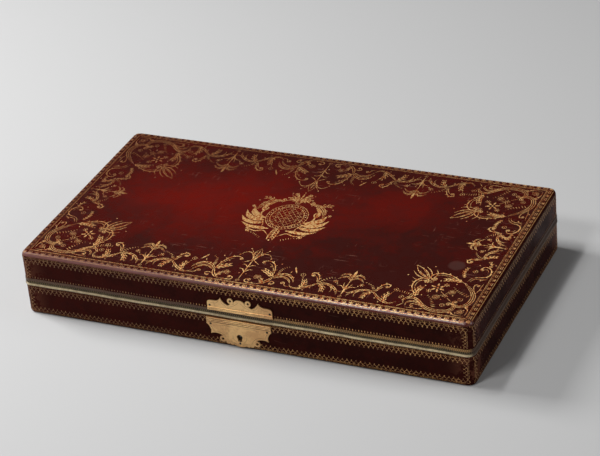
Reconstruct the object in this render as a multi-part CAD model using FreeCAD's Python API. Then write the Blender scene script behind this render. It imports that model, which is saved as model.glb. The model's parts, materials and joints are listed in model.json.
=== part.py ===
"""Letter writing box with drawer: a flat, leather-covered wooden box with a hinged lid,
a pierced brass lock and a dovetailed writing drawer in its left end. Millimetres.

Frame: +X runs along the length, -Y is the front with the lock, +Z is up, and the origin is
the centre of the underside."""

import FreeCAD
import Part
import math
import os

VEC = FreeCAD.Vector
X_AXIS = VEC(1, 0, 0)
Y_AXIS = VEC(0, 1, 0)
Z_AXIS = VEC(0, 0, 1)

# ---- driving dimensions -------------------------------------------------------------
# box outside the leather
LENGTH = 480.0
DEPTH = 263.0
HEIGHT = 70.5
BASE_HEIGHT = 34.5          # underside to the top edge of the base
SEAM = 4.1                  # opening between the edges of base and lid, filled by the braids
CORNER_R = 8.0              # upright edges
LID_EDGE_R = 4.5            # edges of the lid's top
FOOT_EDGE_R = 2.5           # edges of the underside

# carcass and coverings
LEATHER = 1.0
WALL = 8.0                  # wooden walls
LID_BOARD = 5.0
BOTTOM_BOARD = 4.0
UNDERSIDE = 1.0             # paper and leather under the bottom board
LINING = 0.8                # silk on card
BRAID_INSET = 0.5           # from the outer face to the braid
BRAID_WIDTH = 2.5
BASE_BRAID = 2.2            # height of the braid on the base
RUNNING_GAP = 0.3           # between base and moving pieces

# drawer in the left end
DRAWER_GUIDE = 9.5          # width of the strips between the walls and the drawer's sides
DRAWER_LENGTH = 119.5       # leather face to the back of the drawer
DRAWER_SIDE = 6.0
DRAWER_BACK = 4.0
DRAWER_BOTTOM = 2.0
DRAWER_FOOT = 1.0           # from the drawer's lower edge to its bottom board
DRAWER_GAP = 0.5            # at each side
DRAWER_TOP_GAP = 0.4
DRAWER_TRAVEL = 95.0
GROOVE = 2.0                # the bottom board's tongue into the sides
DOVETAIL_LAP = 5.5          # how far the tails reach into the drawer front
DOVETAIL_FLARE = 1.0
DOVETAIL_COUNT = 2
DOVETAIL_SHARE = 0.28       # half a tail's root, as a share of the pitch
SHELF_TOP = 32.0            # floor of the compartment over the drawer
SHELF = 2.5
BULKHEAD = 4.0              # board between the drawer and the paper well
DIVIDER = 3.0
DIVIDER_HEIGHT = 16.5
POT_ROW = 44.0              # compartments behind the drawer front
POT_CELL = 46.0
DRAWER_PAPER = 0.4
STOP_WIDTH = 16.0
STOP_DROP = 3.0

# pots in the drawer
POT_SIZE = 38.0
POT_HEIGHT = 12.0
POT_WALL = 1.8
POT_CORNER = 4.0
POT_TOP_R = 1.1
POT_MOUTH_R = 9.0
COVER_HEIGHT = 3.8
COVER_BRIM = 2.6
COVER_EDGE = 0.8
COVER_SHOULDER_R = 7.0      # where the cap turns from its slope to its crown
COVER_SHOULDER = 1.9
KNOB_R = 1.5
KNOB_NECK_R = 0.9
SANDER_RIM = 2.9
SANDER_BULGE = 0.4
SANDER_FLOOR_R = 3.6

# ring pull
RING_R = 6.5                # to the middle of the wire
RING_WIRE_R = 1.1
RING_STAND_OFF = 3.6        # drawer face to the middle of the wire
EYE_CLEARANCE = 0.35
EYE_RIM = 1.1
EYE_WIDTH = 2.6
ROSETTE_R = 7.2
ROSETTE = 0.8
ROSETTE_LOBES = 8
LOBE_SINK = 1.1             # how far the lobes reach into the rosette's disc
PULL_Z = 23.0

# lock
LOCK_X = -1.0               # centre of the lock and of the lower plate
UPPER_PLATE_X = 2.2         # the lid's plate sits a little to the right of it
PLATE = 1.2
REED_R = 0.6
UPPER_PLATE_Z = 40.3        # lower edge of the lid's plate
LOWER_PLATE_Z = 31.5        # upper edge of the base's plate
KEY_Z = 13.0
KEYHOLE_R = 3.0
KEYHOLE_SLOT = 4.4
KEYHOLE_DROP = 5.0
KEYHOLE_EASE = 0.2          # how much the holes behind the plate are larger
CASE_WIDTH = 53.6
CASE_BOTTOM = 8.2
CASE_DEPTH = 6.6
CASE_METAL = 0.8
CASE_FRONT = 3.2            # from the outer face of the box to the case
BACK_PLATE = 1.0
BACK_PLATE_MARGIN = 3.2
BOLT_THICKNESS = 2.2
BOLT_LOW = 18.5
BOLT_HIGH = 25.0
BOLT_TRAVEL = 4.5
TONGUE_LENGTH = 4.0
TONGUE_HEIGHT = 3.0
TONGUE_ARM = 3.0
BOLT_TAIL = 7.8             # how far the bolt runs on past its second tongue
STUD_R = 1.0
STUD_SPACING = 21.0
STUD_SHIFT = 1.0
BOLT_CLEARANCE = 0.3
LOOP_SPACING = 22.0
LOOP_THICKNESS = 2.0
LOOP_WIDTH = 4.8
LOOP_LEG = 1.0
LOOP_EYE = 4.0
LOOP_DEPTH = 7.0            # from the rim of the base to the loop's end
STAPLE_PLATE = 1.2
STAPLE_LENGTH = 40.0
KEY_POST_R = 1.1
SPRING = 0.5
SPRING_BOW = (0.4, 0.7)     # where the spring bows, as shares of its run and rise

# pins and nails
PIN_HEAD_R = 1.2
PIN_HEAD = 0.7
PIN_SHANK_R = 0.6
PIN_LENGTH = 5.0
NAIL_R = 0.8
NAIL_HEAD_R = 1.5
NAIL_HEAD = 0.35
NAIL_LENGTH = 6.0

# hinges
HINGE_FROM_END = 90.0       # end of the box to the middle of the hinge
HINGE_LENGTH = 50.0
HINGE_LEAF = 1.4
HINGE_SEAT = 7.0            # how far the leaves reach over the walls
BARREL_R = 2.6
BARREL_STAND_OFF = 3.0      # back face to the pin's axis
HINGE_PIN_R = 1.1
PIN_CLEARANCE = 0.05
KNUCKLES = 5
FINIAL_R = 1.9
FINIAL = 1.8

# ---- places worked out from them ------------------------------------------------------
HALF_X = LENGTH / 2
HALF_Y = DEPTH / 2
WOOD_X = HALF_X - LEATHER
WOOD_Y = HALF_Y - LEATHER
INNER_X = WOOD_X - WALL
INNER_Y = WOOD_Y - WALL
FLOOR_Z = UNDERSIDE + BOTTOM_BOARD
LID_RIM_Z = BASE_HEIGHT + SEAM
LID_WOOD_Z = HEIGHT - LEATHER
LID_CEILING_Z = LID_WOOD_Z - LID_BOARD
HINGE_X = HALF_X - HINGE_FROM_END
HINGE_Y = HALF_Y + BARREL_STAND_OFF
HINGE_Z = BASE_HEIGHT + SEAM / 2

OPENING_HALF = INNER_Y - DRAWER_GUIDE
DRAWER_HALF = OPENING_HALF - DRAWER_GAP
SHELF_Z = SHELF_TOP - SHELF
DRAWER_Z = FLOOR_Z + RUNNING_GAP
DRAWER_TOP = SHELF_Z - DRAWER_TOP_GAP
DRAWER_REAR_X = -HALF_X + DRAWER_LENGTH
BULKHEAD_X = DRAWER_REAR_X + DRAWER_GAP
WELL_X = BULKHEAD_X + BULKHEAD
DRAWER_INNER_FRONT = -INNER_X
DRAWER_INNER_REAR = DRAWER_REAR_X - DRAWER_BACK
DRAWER_INNER_HALF = DRAWER_HALF - DRAWER_SIDE
DRAWER_FLOOR_Z = DRAWER_Z + DRAWER_FOOT + DRAWER_BOTTOM
DRAWER_BED_Z = DRAWER_FLOOR_Z + DRAWER_PAPER
POT_ROW_X = DRAWER_INNER_FRONT + POT_ROW
CELL_Y = DRAWER_INNER_HALF - POT_CELL
POT_X = DRAWER_INNER_FRONT + POT_ROW / 2
POT_Y = DRAWER_INNER_HALF - POT_CELL / 2

CASE_Y = -HALF_Y + CASE_FRONT
CASE_REAR_Y = CASE_Y + CASE_DEPTH
LOCK_MID_Y = CASE_Y + CASE_METAL + (CASE_DEPTH - CASE_METAL) / 2
LOOP_Z = BASE_HEIGHT - LOOP_DEPTH
EYE_Z = LOOP_Z + LOOP_LEG
RING_AXIS_X = -HALF_X - RING_STAND_OFF


def block(x0, x1, y0, y1, z0, z1):
    """A rectangular block between two corners."""
    return Part.makeBox(x1 - x0, y1 - y0, z1 - z0, VEC(x0, y0, z0))


def rod(radius, start, along, length):
    """A round rod from a point, along a direction."""
    return Part.makeCylinder(radius, length, start, along)


def upright_edges(solid):
    """The straight edges of a solid that run along Z."""
    found = []
    for edge in solid.Edges:
        if len(edge.Vertexes) == 2:
            run = edge.Vertexes[1].Point - edge.Vertexes[0].Point
            if abs(run.x) + abs(run.y) < 1e-6 and abs(run.z) > 1e-6:
                found.append(edge)
    return found


def edges_at(solid, level):
    """The edges of a solid that lie wholly at one height."""
    return [edge for edge in solid.Edges
            if abs(edge.BoundBox.ZMin - level) < 1e-6 and abs(edge.BoundBox.ZMax - level) < 1e-6]


def rounded_block(half_x, half_y, z0, z1, corner, top=0.0, bottom=0.0):
    """A centred block with rounded upright edges and, where asked, rounded rims."""
    solid = block(-half_x, half_x, -half_y, half_y, z0, z1)
    solid = solid.makeFillet(corner, upright_edges(solid))
    if top > 0:
        solid = solid.makeFillet(top, edges_at(solid, z1))
    if bottom > 0:
        solid = solid.makeFillet(bottom, edges_at(solid, z0))
    return solid


def outline_face(steps, origin, across, up):
    """A flat face inside a closed outline of lines and arcs. Each step is (end) or
    (middle, end), in the plane of the vectors across and up."""
    def place(point):
        return origin + across * point[0] + up * point[1]
    edges = []
    here = place(steps[-1][-1])
    for step in steps:
        there = place(step[-1])
        if len(step) == 2:
            edges.append(Part.Arc(here, place(step[0]), there).toShape())
        else:
            edges.append(Part.LineSegment(here, there).toShape())
        here = there
    return Part.Face(Part.Wire(edges))


def outline_solid(steps, thickness, origin, across, up, out):
    """Extrudes the face of an outline along the direction out."""
    return outline_face(steps, origin, across, up).extrude(out * thickness)


def mirrored(half):
    """Completes an outline that is given for its right half, from the top middle to the
    bottom middle, with its mirror image on the left."""
    points = [step[-1] for step in half]
    full = list(half[1:])
    for index in range(len(half) - 1, 0, -1):
        end = (-points[index - 1][0], points[index - 1][1])
        if len(half[index]) == 2:
            middle = (-half[index][0][0], half[index][0][1])
            full.append((middle, end))
        else:
            full.append((end,))
    return full


def group(solids):
    """Several separate solids kept as one piece group."""
    return Part.makeCompound(solids)


# ---- carcasses and coverings -----------------------------------------------------------
def base_body():
    """The base's outer form without its leather."""
    return rounded_block(WOOD_X, WOOD_Y, 0, BASE_HEIGHT, CORNER_R - LEATHER, bottom=FOOT_EDGE_R)


def lid_body():
    """The lid's outer form without its leather."""
    return rounded_block(WOOD_X, WOOD_Y, LID_RIM_Z, LID_WOOD_Z, CORNER_R - LEATHER,
                         top=LID_EDGE_R - LEATHER)


def keyhole(y0, y1, allowance=0.0):
    """The keyhole's form between two depths: a round with a slot below."""
    radius = KEYHOLE_R + allowance
    half_slot = KEYHOLE_SLOT / 2 + allowance
    hole = rod(radius, VEC(LOCK_X, y0, KEY_Z), Y_AXIS, y1 - y0)
    slot = block(LOCK_X - half_slot, LOCK_X + half_slot, y0, y1, KEY_Z - KEYHOLE_DROP - allowance, KEY_Z)
    return hole.fuse(slot)


def plate_pin_places():
    """Where the pins of the two lock plates stand: (x, z) for each plate."""
    upper = [(UPPER_PLATE_X + side * UPPER_PIN[0], UPPER_PLATE_Z + UPPER_PIN[1]) for side in (-1, 1)]
    lower = [(LOCK_X + side * LOWER_PIN[0], LOWER_PLATE_Z + LOWER_PIN[1]) for side in (-1, 1)]
    lower.append((LOCK_X, LOWER_PLATE_Z + LOWER_MIDDLE_PIN))
    return {"upper": upper, "lower": lower}


def plate_pins(places):
    """Cone-headed pins driven through a lock plate and its leather into the wood."""
    pins = []
    face = -HALF_Y - PLATE
    for x, z in places:
        head = Part.makeCone(PIN_HEAD_R / 2, PIN_HEAD_R, PIN_HEAD, VEC(x, face - PIN_HEAD, z), Y_AXIS)
        pins.append(head.fuse(pin_shank(x, z)))
    return pins


def pin_shank(x, z):
    """The shank of a plate pin, which is also the hole that it fills."""
    return rod(PIN_SHANK_R, VEC(x, -HALF_Y - PLATE, z), Y_AXIS, PIN_LENGTH)


def drilled(solid, places):
    """A solid with the holes of the plate pins."""
    for x, z in places:
        solid = solid.cut(pin_shank(x, z))
    return solid


def hinge_nails(side, level, into):
    """Three nails that hold one hinge leaf: on which side, from which level, which way."""
    nails = []
    for offset in (-HINGE_LENGTH / 3, 0, HINGE_LENGTH / 3):
        start = VEC(side * HINGE_X + offset, HALF_Y - HINGE_SEAT / 2 - LEATHER / 2, level)
        head = rod(NAIL_HEAD_R, start, into * -1, NAIL_HEAD)
        nails.append(head.fuse(rod(NAIL_R, start, into, NAIL_LENGTH)))
    return nails


def cut_all(solid, tools):
    """A solid with every tool cut out of it."""
    for tool in tools:
        solid = solid.cut(tool)
    return solid


def base_parts(nails, places):
    """The base's boards, its leather, braid and linings."""
    body = base_body()
    front = body.common(block(-HALF_X, HALF_X, -HALF_Y, -INNER_Y, FLOOR_Z, BASE_HEIGHT))
    mortise = block(LOCK_X - CASE_WIDTH / 2, LOCK_X + CASE_WIDTH / 2, CASE_Y, -INNER_Y,
                    CASE_BOTTOM, BASE_HEIGHT)
    front = front.cut(mortise).cut(keyhole(-HALF_Y, CASE_Y, 2 * KEYHOLE_EASE))
    front = drilled(front, places["lower"])
    back = body.common(block(-HALF_X, HALF_X, INNER_Y, HALF_Y, FLOOR_Z, BASE_HEIGHT))
    left = body.common(block(-WOOD_X, -INNER_X, -INNER_Y, INNER_Y, FLOOR_Z, BASE_HEIGHT))
    drawer_hole = block(-HALF_X, -INNER_X, -OPENING_HALF, OPENING_HALF, FLOOR_Z, SHELF_Z)
    skin = rounded_block(HALF_X, HALF_Y, 0, BASE_HEIGHT, CORNER_R, bottom=FOOT_EDGE_R)
    skin = skin.cut(body).cut(drawer_hole).cut(keyhole(-HALF_Y, -WOOD_Y, KEYHOLE_EASE))
    guides = [block(-INNER_X, BULKHEAD_X, y0, y0 + INNER_Y - OPENING_HALF, FLOOR_Z, SHELF_Z)
              for y0 in (-INNER_Y, OPENING_HALF)]
    stop_face = DRAWER_INNER_REAR - DRAWER_TRAVEL - DRAWER_GAP
    well = block(WELL_X, INNER_X, -INNER_Y, INNER_Y, FLOOR_Z, BASE_HEIGHT)
    well = well.cut(block(WELL_X + LINING, INNER_X - LINING, -INNER_Y + LINING, INNER_Y - LINING,
                          FLOOR_Z + LINING, BASE_HEIGHT))
    well = well.cut(block(LOCK_X - CASE_WIDTH / 2, LOCK_X + CASE_WIDTH / 2, -INNER_Y,
                          -INNER_Y + LINING, CASE_BOTTOM, BASE_HEIGHT))
    return {
        "base_bottom_board": body.common(block(-HALF_X, HALF_X, -HALF_Y, HALF_Y, UNDERSIDE, FLOOR_Z)),
        "base_underside_cover": body.common(block(-HALF_X, HALF_X, -HALF_Y, HALF_Y, 0, UNDERSIDE)),
        "base_front_wall": front,
        "base_back_wall": cut_all(back, nails),
        "base_right_end": body.common(block(INNER_X, WOOD_X, -INNER_Y, INNER_Y, FLOOR_Z, BASE_HEIGHT)),
        "base_left_end": left.cut(drawer_hole),
        "base_bulkhead": block(BULKHEAD_X, WELL_X, -INNER_Y, INNER_Y, FLOOR_Z, BASE_HEIGHT),
        "drawer_guides": group(guides),
        "drawer_shelf": block(-INNER_X, BULKHEAD_X, -INNER_Y, INNER_Y, SHELF_Z, SHELF_TOP),
        "drawer_stop": block(-INNER_X + DRAWER_GAP, stop_face, -STOP_WIDTH / 2, STOP_WIDTH / 2,
                             SHELF_Z - STOP_DROP, SHELF_Z),
        "base_leather": drilled(skin, places["lower"]),
        "base_rim_braid": rim_braid(BASE_HEIGHT, BASE_HEIGHT + BASE_BRAID),
        "paper_well_lining": well,
        "shelf_lining": block(-INNER_X, BULKHEAD_X, -INNER_Y, INNER_Y, SHELF_TOP, SHELF_TOP + LINING),
    }


def rim_braid(z0, z1):
    """The braid that runs round a rim and stops at the hinges."""
    outer = rounded_block(HALF_X - BRAID_INSET, HALF_Y - BRAID_INSET, z0, z1, CORNER_R - BRAID_INSET)
    inner = BRAID_INSET + BRAID_WIDTH
    braid = outer.cut(rounded_block(HALF_X - inner, HALF_Y - inner, z0, z1, CORNER_R - inner))
    half_hinge = HINGE_LENGTH / 2 + RUNNING_GAP
    for side in (-1, 1):
        middle = side * HINGE_X
        braid = braid.cut(block(middle - half_hinge, middle + half_hinge, 0, HALF_Y, z0, z1))
    return braid


def lid_parts(nails, places):
    """The lid's boards, leather, braid and lining."""
    body = lid_body()
    front = body.common(block(-HALF_X, HALF_X, -HALF_Y, -INNER_Y, LID_RIM_Z, LID_CEILING_Z))
    front = drilled(front.cut(staple_seat()), places["upper"])
    back = body.common(block(-HALF_X, HALF_X, INNER_Y, HALF_Y, LID_RIM_Z, LID_CEILING_Z))
    skin = rounded_block(HALF_X, HALF_Y, LID_RIM_Z, HEIGHT, CORNER_R, top=LID_EDGE_R)
    lining = block(-INNER_X, INNER_X, -INNER_Y, INNER_Y, LID_RIM_Z, LID_CEILING_Z)
    lining = lining.cut(block(-INNER_X + LINING, INNER_X - LINING, -INNER_Y + LINING,
                              INNER_Y - LINING, LID_RIM_Z, LID_CEILING_Z - LINING))
    return {
        "lid_top_board": body.common(block(-HALF_X, HALF_X, -HALF_Y, HALF_Y, LID_CEILING_Z, HEIGHT)),
        "lid_front_wall": front,
        "lid_back_wall": cut_all(back, nails),
        "lid_left_end": body.common(block(-WOOD_X, -INNER_X, -INNER_Y, INNER_Y, LID_RIM_Z, LID_CEILING_Z)),
        "lid_right_end": body.common(block(INNER_X, WOOD_X, -INNER_Y, INNER_Y, LID_RIM_Z, LID_CEILING_Z)),
        "lid_leather": drilled(skin.cut(body), places["upper"]),
        "lid_rim_braid": rim_braid(BASE_HEIGHT + BASE_BRAID + RUNNING_GAP, LID_RIM_Z),
        "lid_lining": lining,
    }


# ---- lock ------------------------------------------------------------------------------
# Each plate's right half, from the top middle round to the bottom middle, measured from the
# plate's centre line and from its straight edge. A step of two points is an arc.
UPPER_HALF = 34.7
LOWER_HALF = 34.2
UPPER_OUTLINE = [
    ((0.0, 15.6),),
    ((3.4, 14.9), (5.8, 12.6)),
    ((12.4, 8.0),),
    ((16.9, 10.6), (20.2, 15.7)),
    ((22.4, 12.6), (26.4, 11.4)),
    ((31.4, 11.1),),
    ((33.7, 10.2), (UPPER_HALF, 7.8)),
    ((UPPER_HALF, 0.0),),
    ((0.0, 0.0),),
]
LOWER_OUTLINE = [
    ((0.0, 0.0),),
    ((LOWER_HALF, 0.0),),
    ((LOWER_HALF, -5.6),),
    ((34.9, -7.2),),
    ((31.5, -11.2), (30.2, -15.2)),
    ((30.9, -18.7),),
    ((24.2, -17.4), (18.2, -19.4)),
    ((15.0, -26.2),),
    ((13.6, -28.0), (11.5, -27.6)),
    ((10.8, -26.6),),
    ((9.4, -28.6), (7.4, -28.2)),
    ((6.8, -27.6),),
    ((3.4, -29.3), (0.0, -29.5)),
]
UPPER_VOLUTE = (9.5, 13.4, 3.1, 1.3)      # x, z, outer radius, eye radius
LOWER_VOLUTE = (18.4, -23.2, 3.4, 1.4)
UPPER_PIN = (32.0, 5.6)
LOWER_PIN = (30.2, -7.4)
LOWER_MIDDLE_PIN = -25.6
UPPER_REEDS = (0.7, 2.0, 3.3)
LOWER_REEDS = (-0.7, -2.4, -4.1)


def lock_plate(outline, volute, reeds, half_width, centre_x, edge_z):
    """A sawn brass plate with a volute on each side and reeds along its straight edge."""
    origin = VEC(centre_x, -HALF_Y, edge_z)
    out = Y_AXIS * -1
    plate = outline_solid(mirrored(outline), PLATE, origin, X_AXIS, Z_AXIS, out)
    for side in (-1, 1):
        eye = origin + VEC(side * volute[0], 0, volute[1])
        plate = plate.fuse(rod(volute[2], eye, out, PLATE))
    for side in (-1, 1):
        eye = origin + VEC(side * volute[0], 0, volute[1])
        plate = plate.cut(rod(volute[3], eye, out, PLATE))
    for height in reeds:
        start = origin + VEC(-half_width, -PLATE, height)
        reed = rod(REED_R, start, X_AXIS, 2 * half_width)
        plate = plate.fuse(reed.common(block(-HALF_X, HALF_X, -HALF_Y - PLATE - REED_R,
                                             -HALF_Y - PLATE, 0, HEIGHT)))
    return plate.removeSplitter()


def staple_seat():
    """The place of the staple plate in the rim of the lid's front wall."""
    return block(LOCK_X - STAPLE_LENGTH / 2, LOCK_X + STAPLE_LENGTH / 2, LOCK_MID_Y - LOOP_WIDTH / 2,
                 min(LOCK_MID_Y + LOOP_WIDTH / 2, -INNER_Y), LID_RIM_Z, LID_RIM_Z + STAPLE_PLATE)


def staple_plate():
    """The plate let into the lid's rim, with two loops that drop into the lock."""
    plate = staple_seat()
    eye_half = LOOP_WIDTH / 2 - LOOP_LEG
    for x in loop_places():
        loop = block(x - LOOP_THICKNESS / 2, x + LOOP_THICKNESS / 2, LOCK_MID_Y - LOOP_WIDTH / 2,
                     LOCK_MID_Y + LOOP_WIDTH / 2, LOOP_Z, LID_RIM_Z)
        foot = [edge for edge in edges_at(loop, LOOP_Z)
                if abs(edge.BoundBox.XMax - edge.BoundBox.XMin) > LOOP_THICKNESS / 2]
        loop = loop.makeFillet(LOOP_LEG, foot)
        eye = block(x - LOOP_THICKNESS, x + LOOP_THICKNESS, LOCK_MID_Y - eye_half,
                    LOCK_MID_Y + eye_half, EYE_Z, EYE_Z + LOOP_EYE)
        plate = plate.fuse(loop.cut(eye))
    return plate.removeSplitter()


def loop_places():
    """The middle of each loop along X."""
    return [LOCK_X + side * LOOP_SPACING / 2 for side in (-1, 1)]


def stud_places():
    """The middle of each stud that carries the bolt."""
    first = LOCK_X - STUD_SPACING / 2 + STUD_SHIFT
    return [first, first + STUD_SPACING]


def lock_case():
    """The open iron case with its slotted top and the two studs for the bolt."""
    half = CASE_WIDTH / 2
    case = block(LOCK_X - half, LOCK_X + half, CASE_Y, CASE_REAR_Y, CASE_BOTTOM, BASE_HEIGHT)
    case = case.cut(block(LOCK_X - half + CASE_METAL, LOCK_X + half - CASE_METAL, CASE_Y + CASE_METAL,
                          CASE_REAR_Y, CASE_BOTTOM + CASE_METAL, BASE_HEIGHT - CASE_METAL))
    play = 2 * BOLT_CLEARANCE
    for x in loop_places():
        case = case.cut(block(x - LOOP_THICKNESS / 2 - play, x + LOOP_THICKNESS / 2 + play,
                              LOCK_MID_Y - LOOP_WIDTH / 2 - play / 2, CASE_REAR_Y,
                              BASE_HEIGHT - CASE_METAL, BASE_HEIGHT))
    case = case.cut(keyhole(CASE_Y, CASE_Y + CASE_METAL, KEYHOLE_EASE))
    for x in stud_places():
        case = case.fuse(rod(STUD_R, VEC(x, CASE_Y + CASE_METAL, bolt_mid_z()), Y_AXIS,
                             CASE_DEPTH - CASE_METAL))
    return case.removeSplitter()


def bolt_mid_z():
    """The height of the bolt's slots."""
    return (BOLT_LOW + BOLT_HIGH) / 2


def lock_bolt():
    """The bolt, withdrawn: a slotted plate with a tongue for each loop."""
    y0 = LOCK_MID_Y - BOLT_THICKNESS / 2
    y1 = LOCK_MID_Y + BOLT_THICKNESS / 2
    tongue_z = EYE_Z + (LOOP_EYE - TONGUE_HEIGHT) / 2
    roots = [x - LOOP_THICKNESS / 2 - BOLT_TRAVEL - 2 * BOLT_CLEARANCE for x in loop_places()]
    bolt = block(roots[0] - TONGUE_ARM, roots[1] + BOLT_TAIL, y0, y1, BOLT_LOW, BOLT_HIGH)
    for root in roots:
        bolt = bolt.fuse(block(root - TONGUE_ARM, root, y0, y1, BOLT_HIGH, tongue_z + TONGUE_HEIGHT))
        bolt = bolt.fuse(block(root, root + TONGUE_LENGTH, y0, y1, tongue_z, tongue_z + TONGUE_HEIGHT))
    reach = STUD_R + BOLT_CLEARANCE
    for x in stud_places():
        for end in (x, x - BOLT_TRAVEL):
            bolt = bolt.cut(rod(reach, VEC(end, y0, bolt_mid_z()), Y_AXIS, BOLT_THICKNESS))
        bolt = bolt.cut(block(x - BOLT_TRAVEL, x, y0, y1, bolt_mid_z() - reach, bolt_mid_z() + reach))
    talon = TONGUE_ARM / 2
    bolt = bolt.cut(block(LOCK_X - talon, LOCK_X + talon, y0, y1, BOLT_LOW, BOLT_LOW + talon))
    return bolt.removeSplitter()


def lock_spring():
    """The leaf spring that presses the bolt from below, footed on the case's end."""
    foot_x = LOCK_X - CASE_WIDTH / 2 + CASE_METAL
    foot_z = CASE_BOTTOM + CASE_METAL
    tip = (CASE_WIDTH / 4, BOLT_LOW - BOLT_CLEARANCE - SPRING - foot_z)
    sag = (tip[0] * SPRING_BOW[0], tip[1] * SPRING_BOW[1])
    outline = [((0.0, 0.0),), (sag, tip), ((tip[0], tip[1] + SPRING),),
               ((sag[0] - SPRING, sag[1] + SPRING), (0.0, SPRING * 2))]
    y0 = LOCK_MID_Y - BOLT_THICKNESS / 2
    return outline_solid(outline, BOLT_THICKNESS, VEC(foot_x, y0, foot_z), X_AXIS, Z_AXIS, Y_AXIS)


def lock_parts(places):
    """The lock, its plates, pins and key post."""
    margin = BACK_PLATE_MARGIN
    half = CASE_WIDTH / 2 + margin
    back_plate = block(LOCK_X - half, LOCK_X + half, CASE_REAR_Y, CASE_REAR_Y + BACK_PLATE,
                       CASE_BOTTOM - margin / 2, BASE_HEIGHT)
    post = rod(KEY_POST_R, VEC(LOCK_X, -WOOD_Y, KEY_Z), Y_AXIS, CASE_REAR_Y + WOOD_Y)
    upper = lock_plate(UPPER_OUTLINE, UPPER_VOLUTE, UPPER_REEDS, UPPER_HALF, UPPER_PLATE_X, UPPER_PLATE_Z)
    lower = lock_plate(LOWER_OUTLINE, LOWER_VOLUTE, LOWER_REEDS, LOWER_HALF, LOCK_X, LOWER_PLATE_Z)
    lower = lower.cut(keyhole(-HALF_Y - 2 * PLATE, -HALF_Y))
    return {
        "upper_lock_plate": drilled(upper, places["upper"]),
        "upper_plate_pins": group(plate_pins(places["upper"])),
        "lower_lock_plate": drilled(lower, places["lower"]),
        "lower_plate_pins": group(plate_pins(places["lower"])),
        "lock_case": lock_case(),
        "lock_back_plate": back_plate,
        "lock_key_post": post,
        "lock_spring": lock_spring(),
        "lock_bolt": lock_bolt(),
        "lid_staple_plate": staple_plate(),
    }


# ---- hinges ----------------------------------------------------------------------------
def hinge_leaf(side, level, own, bore):
    """A hinge leaf with its knuckles: level is its lower face, own says which knuckles."""
    x0 = side * HINGE_X - HINGE_LENGTH / 2
    leaf = block(x0, x0 + HINGE_LENGTH, HALF_Y - HINGE_SEAT, HALF_Y, level, level + HINGE_LEAF)
    pitch = (HINGE_LENGTH + RUNNING_GAP) / KNUCKLES
    for index in range(KNUCKLES):
        if index % 2 != own:
            continue
        start = x0 + index * pitch
        end = start + pitch - RUNNING_GAP
        leaf = leaf.fuse(block(start, end, HALF_Y, HINGE_Y, level, level + HINGE_LEAF))
        leaf = leaf.fuse(rod(BARREL_R, VEC(start, HINGE_Y, HINGE_Z), X_AXIS, end - start))
    leaf = leaf.cut(rod(bore, VEC(x0, HINGE_Y, HINGE_Z), X_AXIS, HINGE_LENGTH))
    return leaf.removeSplitter()


def hinge_pin(side):
    """The pin of one hinge, with a small turned finial at each end."""
    x0 = side * HINGE_X - HINGE_LENGTH / 2
    pin = rod(HINGE_PIN_R, VEC(x0, HINGE_Y, HINGE_Z), X_AXIS, HINGE_LENGTH)
    for x, out in ((x0, X_AXIS * -1), (x0 + HINGE_LENGTH, X_AXIS)):
        pin = pin.fuse(Part.makeCone(FINIAL_R, FINIAL_R / 2, FINIAL, VEC(x, HINGE_Y, HINGE_Z), out))
    return pin.removeSplitter()


def hinge_parts(base_nails, lid_nails):
    """Both hinges: two leaves and a pin each, and their nails."""
    parts = {"hinge_base_nails": group(base_nails), "hinge_lid_nails": group(lid_nails)}
    for side, name in ((-1, "left"), (1, "right")):
        base_leaf = hinge_leaf(side, BASE_HEIGHT, 0, HINGE_PIN_R)
        lid_leaf = hinge_leaf(side, LID_RIM_Z - HINGE_LEAF, 1, HINGE_PIN_R + PIN_CLEARANCE)
        parts["hinge_base_leaf_" + name] = cut_all(base_leaf, base_nails)
        parts["hinge_lid_leaf_" + name] = cut_all(lid_leaf, lid_nails)
        parts["hinge_pin_" + name] = hinge_pin(side)
    return parts


# ---- drawer ----------------------------------------------------------------------------
def dovetails(root_x, tip_x, y0, y1):
    """The tails of a drawer side, wider at their tips."""
    tails = []
    pitch = (DRAWER_TOP - DRAWER_Z) / DOVETAIL_COUNT
    for index in range(DOVETAIL_COUNT):
        middle = DRAWER_Z + (index + 0.5) * pitch
        narrow = pitch * DOVETAIL_SHARE
        wide = narrow + DOVETAIL_FLARE
        outline = [((root_x, middle - narrow),), ((tip_x, middle - wide),),
                   ((tip_x, middle + wide),), ((root_x, middle + narrow),)]
        tails.append(outline_solid(outline, y1 - y0, VEC(0, y0, 0), X_AXIS, Z_AXIS, Y_AXIS))
    return tails


def pot(side):
    """A square pot with rounded edges, hollow inside, with a round mouth."""
    half = POT_SIZE / 2
    top = DRAWER_BED_Z + POT_HEIGHT
    body = rounded_block(half, half, DRAWER_BED_Z, top, POT_CORNER, top=POT_TOP_R)
    inside = half - POT_WALL
    hollow = rounded_block(inside, inside, DRAWER_BED_Z + POT_WALL, top - POT_WALL,
                           POT_CORNER - POT_WALL)
    mouth = rod(POT_MOUTH_R, VEC(0, 0, top - 2 * POT_WALL), Z_AXIS, 3 * POT_WALL)
    body = body.cut(hollow).cut(mouth)
    body.translate(VEC(POT_X, side * POT_Y, 0))
    return body


def pot_top(side, profile):
    """A turned top on a pot, from its half profile of (radius, height) steps."""
    turned = outline_face(profile, VEC(0, 0, 0), X_AXIS, Z_AXIS).revolve(VEC(0, 0, 0), Z_AXIS, 360)
    turned.translate(VEC(POT_X, side * POT_Y, DRAWER_BED_Z + POT_HEIGHT))
    return turned


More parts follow.
